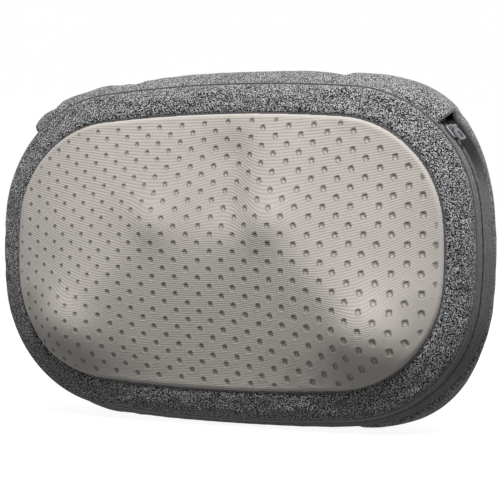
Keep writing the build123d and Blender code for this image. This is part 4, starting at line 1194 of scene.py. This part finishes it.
def make_rear():
    """Heather cloth over the sides and the back, with the control pod's opening, flat where it stands."""
    rows = rear_profile()
    gusset = gusset_share(rows[GIRTH_ROW][:, [0, 2]])
    round_gusset(rows, gusset)
    normal = normals(rows)
    track = ring_track(rows)
    number = np.arange(len(rows))[:, None]
    past_girth = number - GIRTH_ROW
    swell_top = swelling(np.clip(number / WALL_END, 0, 1), TOP_SWELL, 1.2, 0.06)
    swell_zip = swelling(np.clip(past_girth / (WALL_END - GIRTH_ROW), 0, 1), SIDE_SWELL, 1.0, 0.05)
    swell = gusset * swell_top + (1 - gusset) * np.where(past_girth >= 0, swell_zip, 0)
    quiet = smoothstep(0.75, 1.5, np.linalg.norm((rows - CONTROL_PLACE) / CONTROL_REACH, axis=2))
    rows = rows + normal * (swell * quiet)[..., None]
    rows = rows + blown_up(rows, gusset, quiet, number)
    rows = rows + wrinkles(normal, track, gusset, quiet, number)
    rows, fold_dip_and_shade = gusset_ends(rows, normal, number)
    rows = rows - normal * (FOLD_DIP * fold_dip_and_shade * np.minimum(np.abs(past_girth) / 3, 1))[..., None]
    rows[..., 2] = np.maximum(rows[..., 2], -CENTRE_Z)
    rows[..., 1] = np.minimum(rows[..., 1], BACK_Y)
    centre = (rows[:-1] + rows[1:]) / 2
    keep = np.abs((centre - CONTROL_PLACE) / CONTROL_OPENING).max(2) >= 1
    keep[:GIRTH_ROW] &= np.minimum(gusset, np.roll(gusset, -1)) > 0.5
    # the fold's depth is also painted on the cloth as shade
    piece = skin("rear_cloth", rows, CLOTH_THICK, keep, fold_dip_and_shade)
    dress(piece, "heather_knit", "rear_cover", "top_gusset")


make_rear()


# ------------------------------------------------------------------ zip
ZIP_SLIT = 1.2              # width between the tapes' folded edges
RIB_WIDTH = 1.7
COIL_PITCH = 1.55
COIL_HALF = 1.15
COIL_WIRE_R = 0.34


def zip_columns():
    """Which ring points lie along the zip."""
    return track_angle(outline(band_shape(GIRTH_Y))) <= ZIP_END_ANGLE + ZIP_TUCK


def make_tape(name, front_y, rear_y, node, fold_at_rear):
    """One zip tape: a flat woven strip with ribs along the track, its edge at the coil folded under."""
    wide = np.linspace(0, 1, 15)
    rows = np.array([at_depth(section(y), y) for y in front_y + (rear_y - front_y) * wide])
    along, across = ring_track(rows)
    width = abs(rear_y - front_y)
    from_fold = (1 - wide if fold_at_rear else wide)[:, None]
    ribs = 0.16 * np.cos(2 * math.pi * wide[:, None] * round(width / RIB_WIDTH))
    roll = -0.9 * np.exp(-(from_fold * width / 0.45) ** 2)
    roll = roll - 0.7 * np.exp(-((1 - from_fold) * width / 0.5) ** 2)
    uneven = 0.12 * ripple(along, across, [(8, 20)], 31)
    rows = rows + normals(rows) * (0.1 + ribs + roll + uneven)[..., None]
    rows[..., 2] = np.maximum(rows[..., 2], -CENTRE_Z)
    here = zip_columns()
    keep = np.broadcast_to(here & np.roll(here, -1), (len(rows) - 1, RING))
    # painted shade on the tape in the fold behind the zip's closed end
    fold = fold_shade_share(track_angle(rows[0][:, [0, 2]]))[None] * smoothstep(-11, -9, rows[..., 1])
    piece = skin(name, rows, TAPE_THICK, keep, fold)
    dress(piece, "zip_tape", node)


def make_coil():
    """Nylon coil teeth in the slit between the tapes."""
    ring = at_depth(section(COIL_Y), COIL_Y)
    here = zip_columns()
    start = int(np.argmax(~here & np.roll(here, -1))) + 1
    path = np.roll(ring, -start, axis=0)[np.roll(here, -start)]
    steps = np.concatenate([[0], np.cumsum(np.linalg.norm(np.diff(path, axis=0), axis=1))])
    tangent = unit(np.gradient(path, axis=0))
    turn = np.linspace(0, math.pi, 6)
    parts = []
    for number, at in enumerate(np.arange(COIL_PITCH, steps[-1] - COIL_PITCH, COIL_PITCH)):
        centre = np.array([np.interp(at, steps, path[:, axis]) for axis in range(3)])
        ahead = np.array([np.interp(at, steps, tangent[:, axis]) for axis in range(3)])
        outward = np.cross([0, 1.0, 0], ahead)
        outward *= np.sign(outward @ (centre - [0, COIL_Y, 0]))
        side = 1 if number % 2 else -1
        across = side * (COIL_HALF * np.cos(turn) - 0.1)
        rise = 0.55 * np.sin(turn) - 1.1
        line = centre + across[:, None] * [0, 1.0, 0] + rise[:, None] * outward
        line = line + (0.25 * np.cos(turn))[:, None] * ahead
        line[:, 2] = np.maximum(line[:, 2], 0.5 - CENTRE_Z)
        parts.append(tube(lift(line), COIL_WIRE_R, 5))
    piece = joined("zip_teeth", parts)
    dress(piece, "zip_coil", "zip_coil")


make_tape("front_tape", STITCH_Y, COIL_Y - ZIP_SLIT / 2, "zip_tape_front", True)
make_tape("rear_tape", COIL_Y + ZIP_SLIT / 2, GIRTH_Y, "zip_tape_rear", False)
make_coil()


# ------------------------------------------------------------------ strap on the back
STRAP_SLACK = 0.8
TAB_LENGTH = 24
TAB_STITCH_INSET = 2.6
TAB_EDGE = 1.2              # width of a tab's rounded edge


def make_strap():
    """Elastic strap flat on the back, slack between the tabs that hold its ends."""
    low, high = box("headrest_strap")
    half, thick, width = high[0], high[1] - low[1], high[2] - low[2]
    x = np.linspace(-half, half, 180)
    share = np.linspace(-1, 1, 22)
    across = share * width / 2
    edge = 0.35 * ripple(x[None, :], np.sign(across)[:, None], [(25, 60)], 41) * np.abs(share)[:, None] ** 6
    z = (low[2] + high[2]) / 2 + across[:, None] + edge
    roundness = np.sqrt(np.clip(1 - np.abs(share) ** 8, 0, 1))[:, None]
    cords = 0.12 * np.cos(across * 2 * math.pi / STRAP_CORD_PITCH)[:, None]
    weft = 0.07 * np.cos(x * 2 * math.pi / 3.3)[None, :]
    slack = STRAP_SLACK * np.cos(math.pi / 2 * np.clip(x / (half - TAB_LENGTH - 2), -1, 1))[None, :] ** 2
    levels = []
    for side in (1, -1):
        out = low[1] + thick / 2 + side * (thick / 2 - 0.15) * roundness
        out = out + (cords + weft) * roundness * (side > 0) + slack
        levels.append(np.stack([np.broadcast_to(x, z.shape), out, z], 2))
    piece = mesh_piece("back_strap", *slab(*levels))
    dress(piece, "strap_webbing", "headrest_strap")


def make_tabs():
    """Rounded tabs over the strap's ends, pressed flat and edge-stitched with a cross."""
    low, high = box("strap_tabs")
    thick = high[1] - low[1]
    centre_z, half_z = (low[2] + high[2]) / 2, (high[2] - low[2]) / 2
    across, up = np.meshgrid(np.linspace(-1, 1, 33), np.linspace(-1, 1, 51))
    squeeze = 1 - 0.02 * np.abs(across * up) ** 6
    corners = [(-1, -1), (1, -1), (1, 1), (-1, 1)]
    seams = list(zip(corners, corners[1:] + corners[:1])) + [((-1, -1), (1, 1)), ((-1, 1), (1, -1))]
    inset = np.array([TAB_LENGTH / 2 - TAB_STITCH_INSET, half_z - TAB_STITCH_INSET])
    parts, threads = [], []
    for side in (-1, 1):
        centre_x = side * (high[0] - TAB_LENGTH / 2)
        x = centre_x + across * TAB_LENGTH / 2 * squeeze
        z = centre_z + up * half_z * squeeze
        from_edge = np.minimum(TAB_LENGTH / 2 - np.abs(x - centre_x), half_z - np.abs(z - centre_z))
        puff = thick * quarter_round(from_edge / TAB_EDGE)
        groove = 0.35 * np.exp(-((from_edge - TAB_STITCH_INSET) / 0.7) ** 2)
        front = low[1] + puff + 0.25 + 0.15 * ripple(x, z, [(8, 16)], 51 + side) - groove
        parts.append(slab(np.stack([x, front, z], 2), np.stack([x, np.full(x.shape, low[1] - 0.2), z], 2)))
        for start, end in seams:
            share = np.linspace(0.02, 0.98, 40)[:, None]
            line = (np.array(start) * (1 - share) + np.array(end) * share) * inset + [centre_x, centre_z]
            threads += stitch_line(np.insert(line, 1, low[1] + thick + 0.15, axis=1), 2.4, 0.9, 0.3)
    piece = joined("strap_end_tabs", parts)
    dress(piece, "strap_webbing", "strap_tabs")
    stitches = joined("tab_stitches", threads)
    stitches.data.materials.append(DARK_THREAD_AND_SEAM_SHADE)


make_strap()
make_tabs()
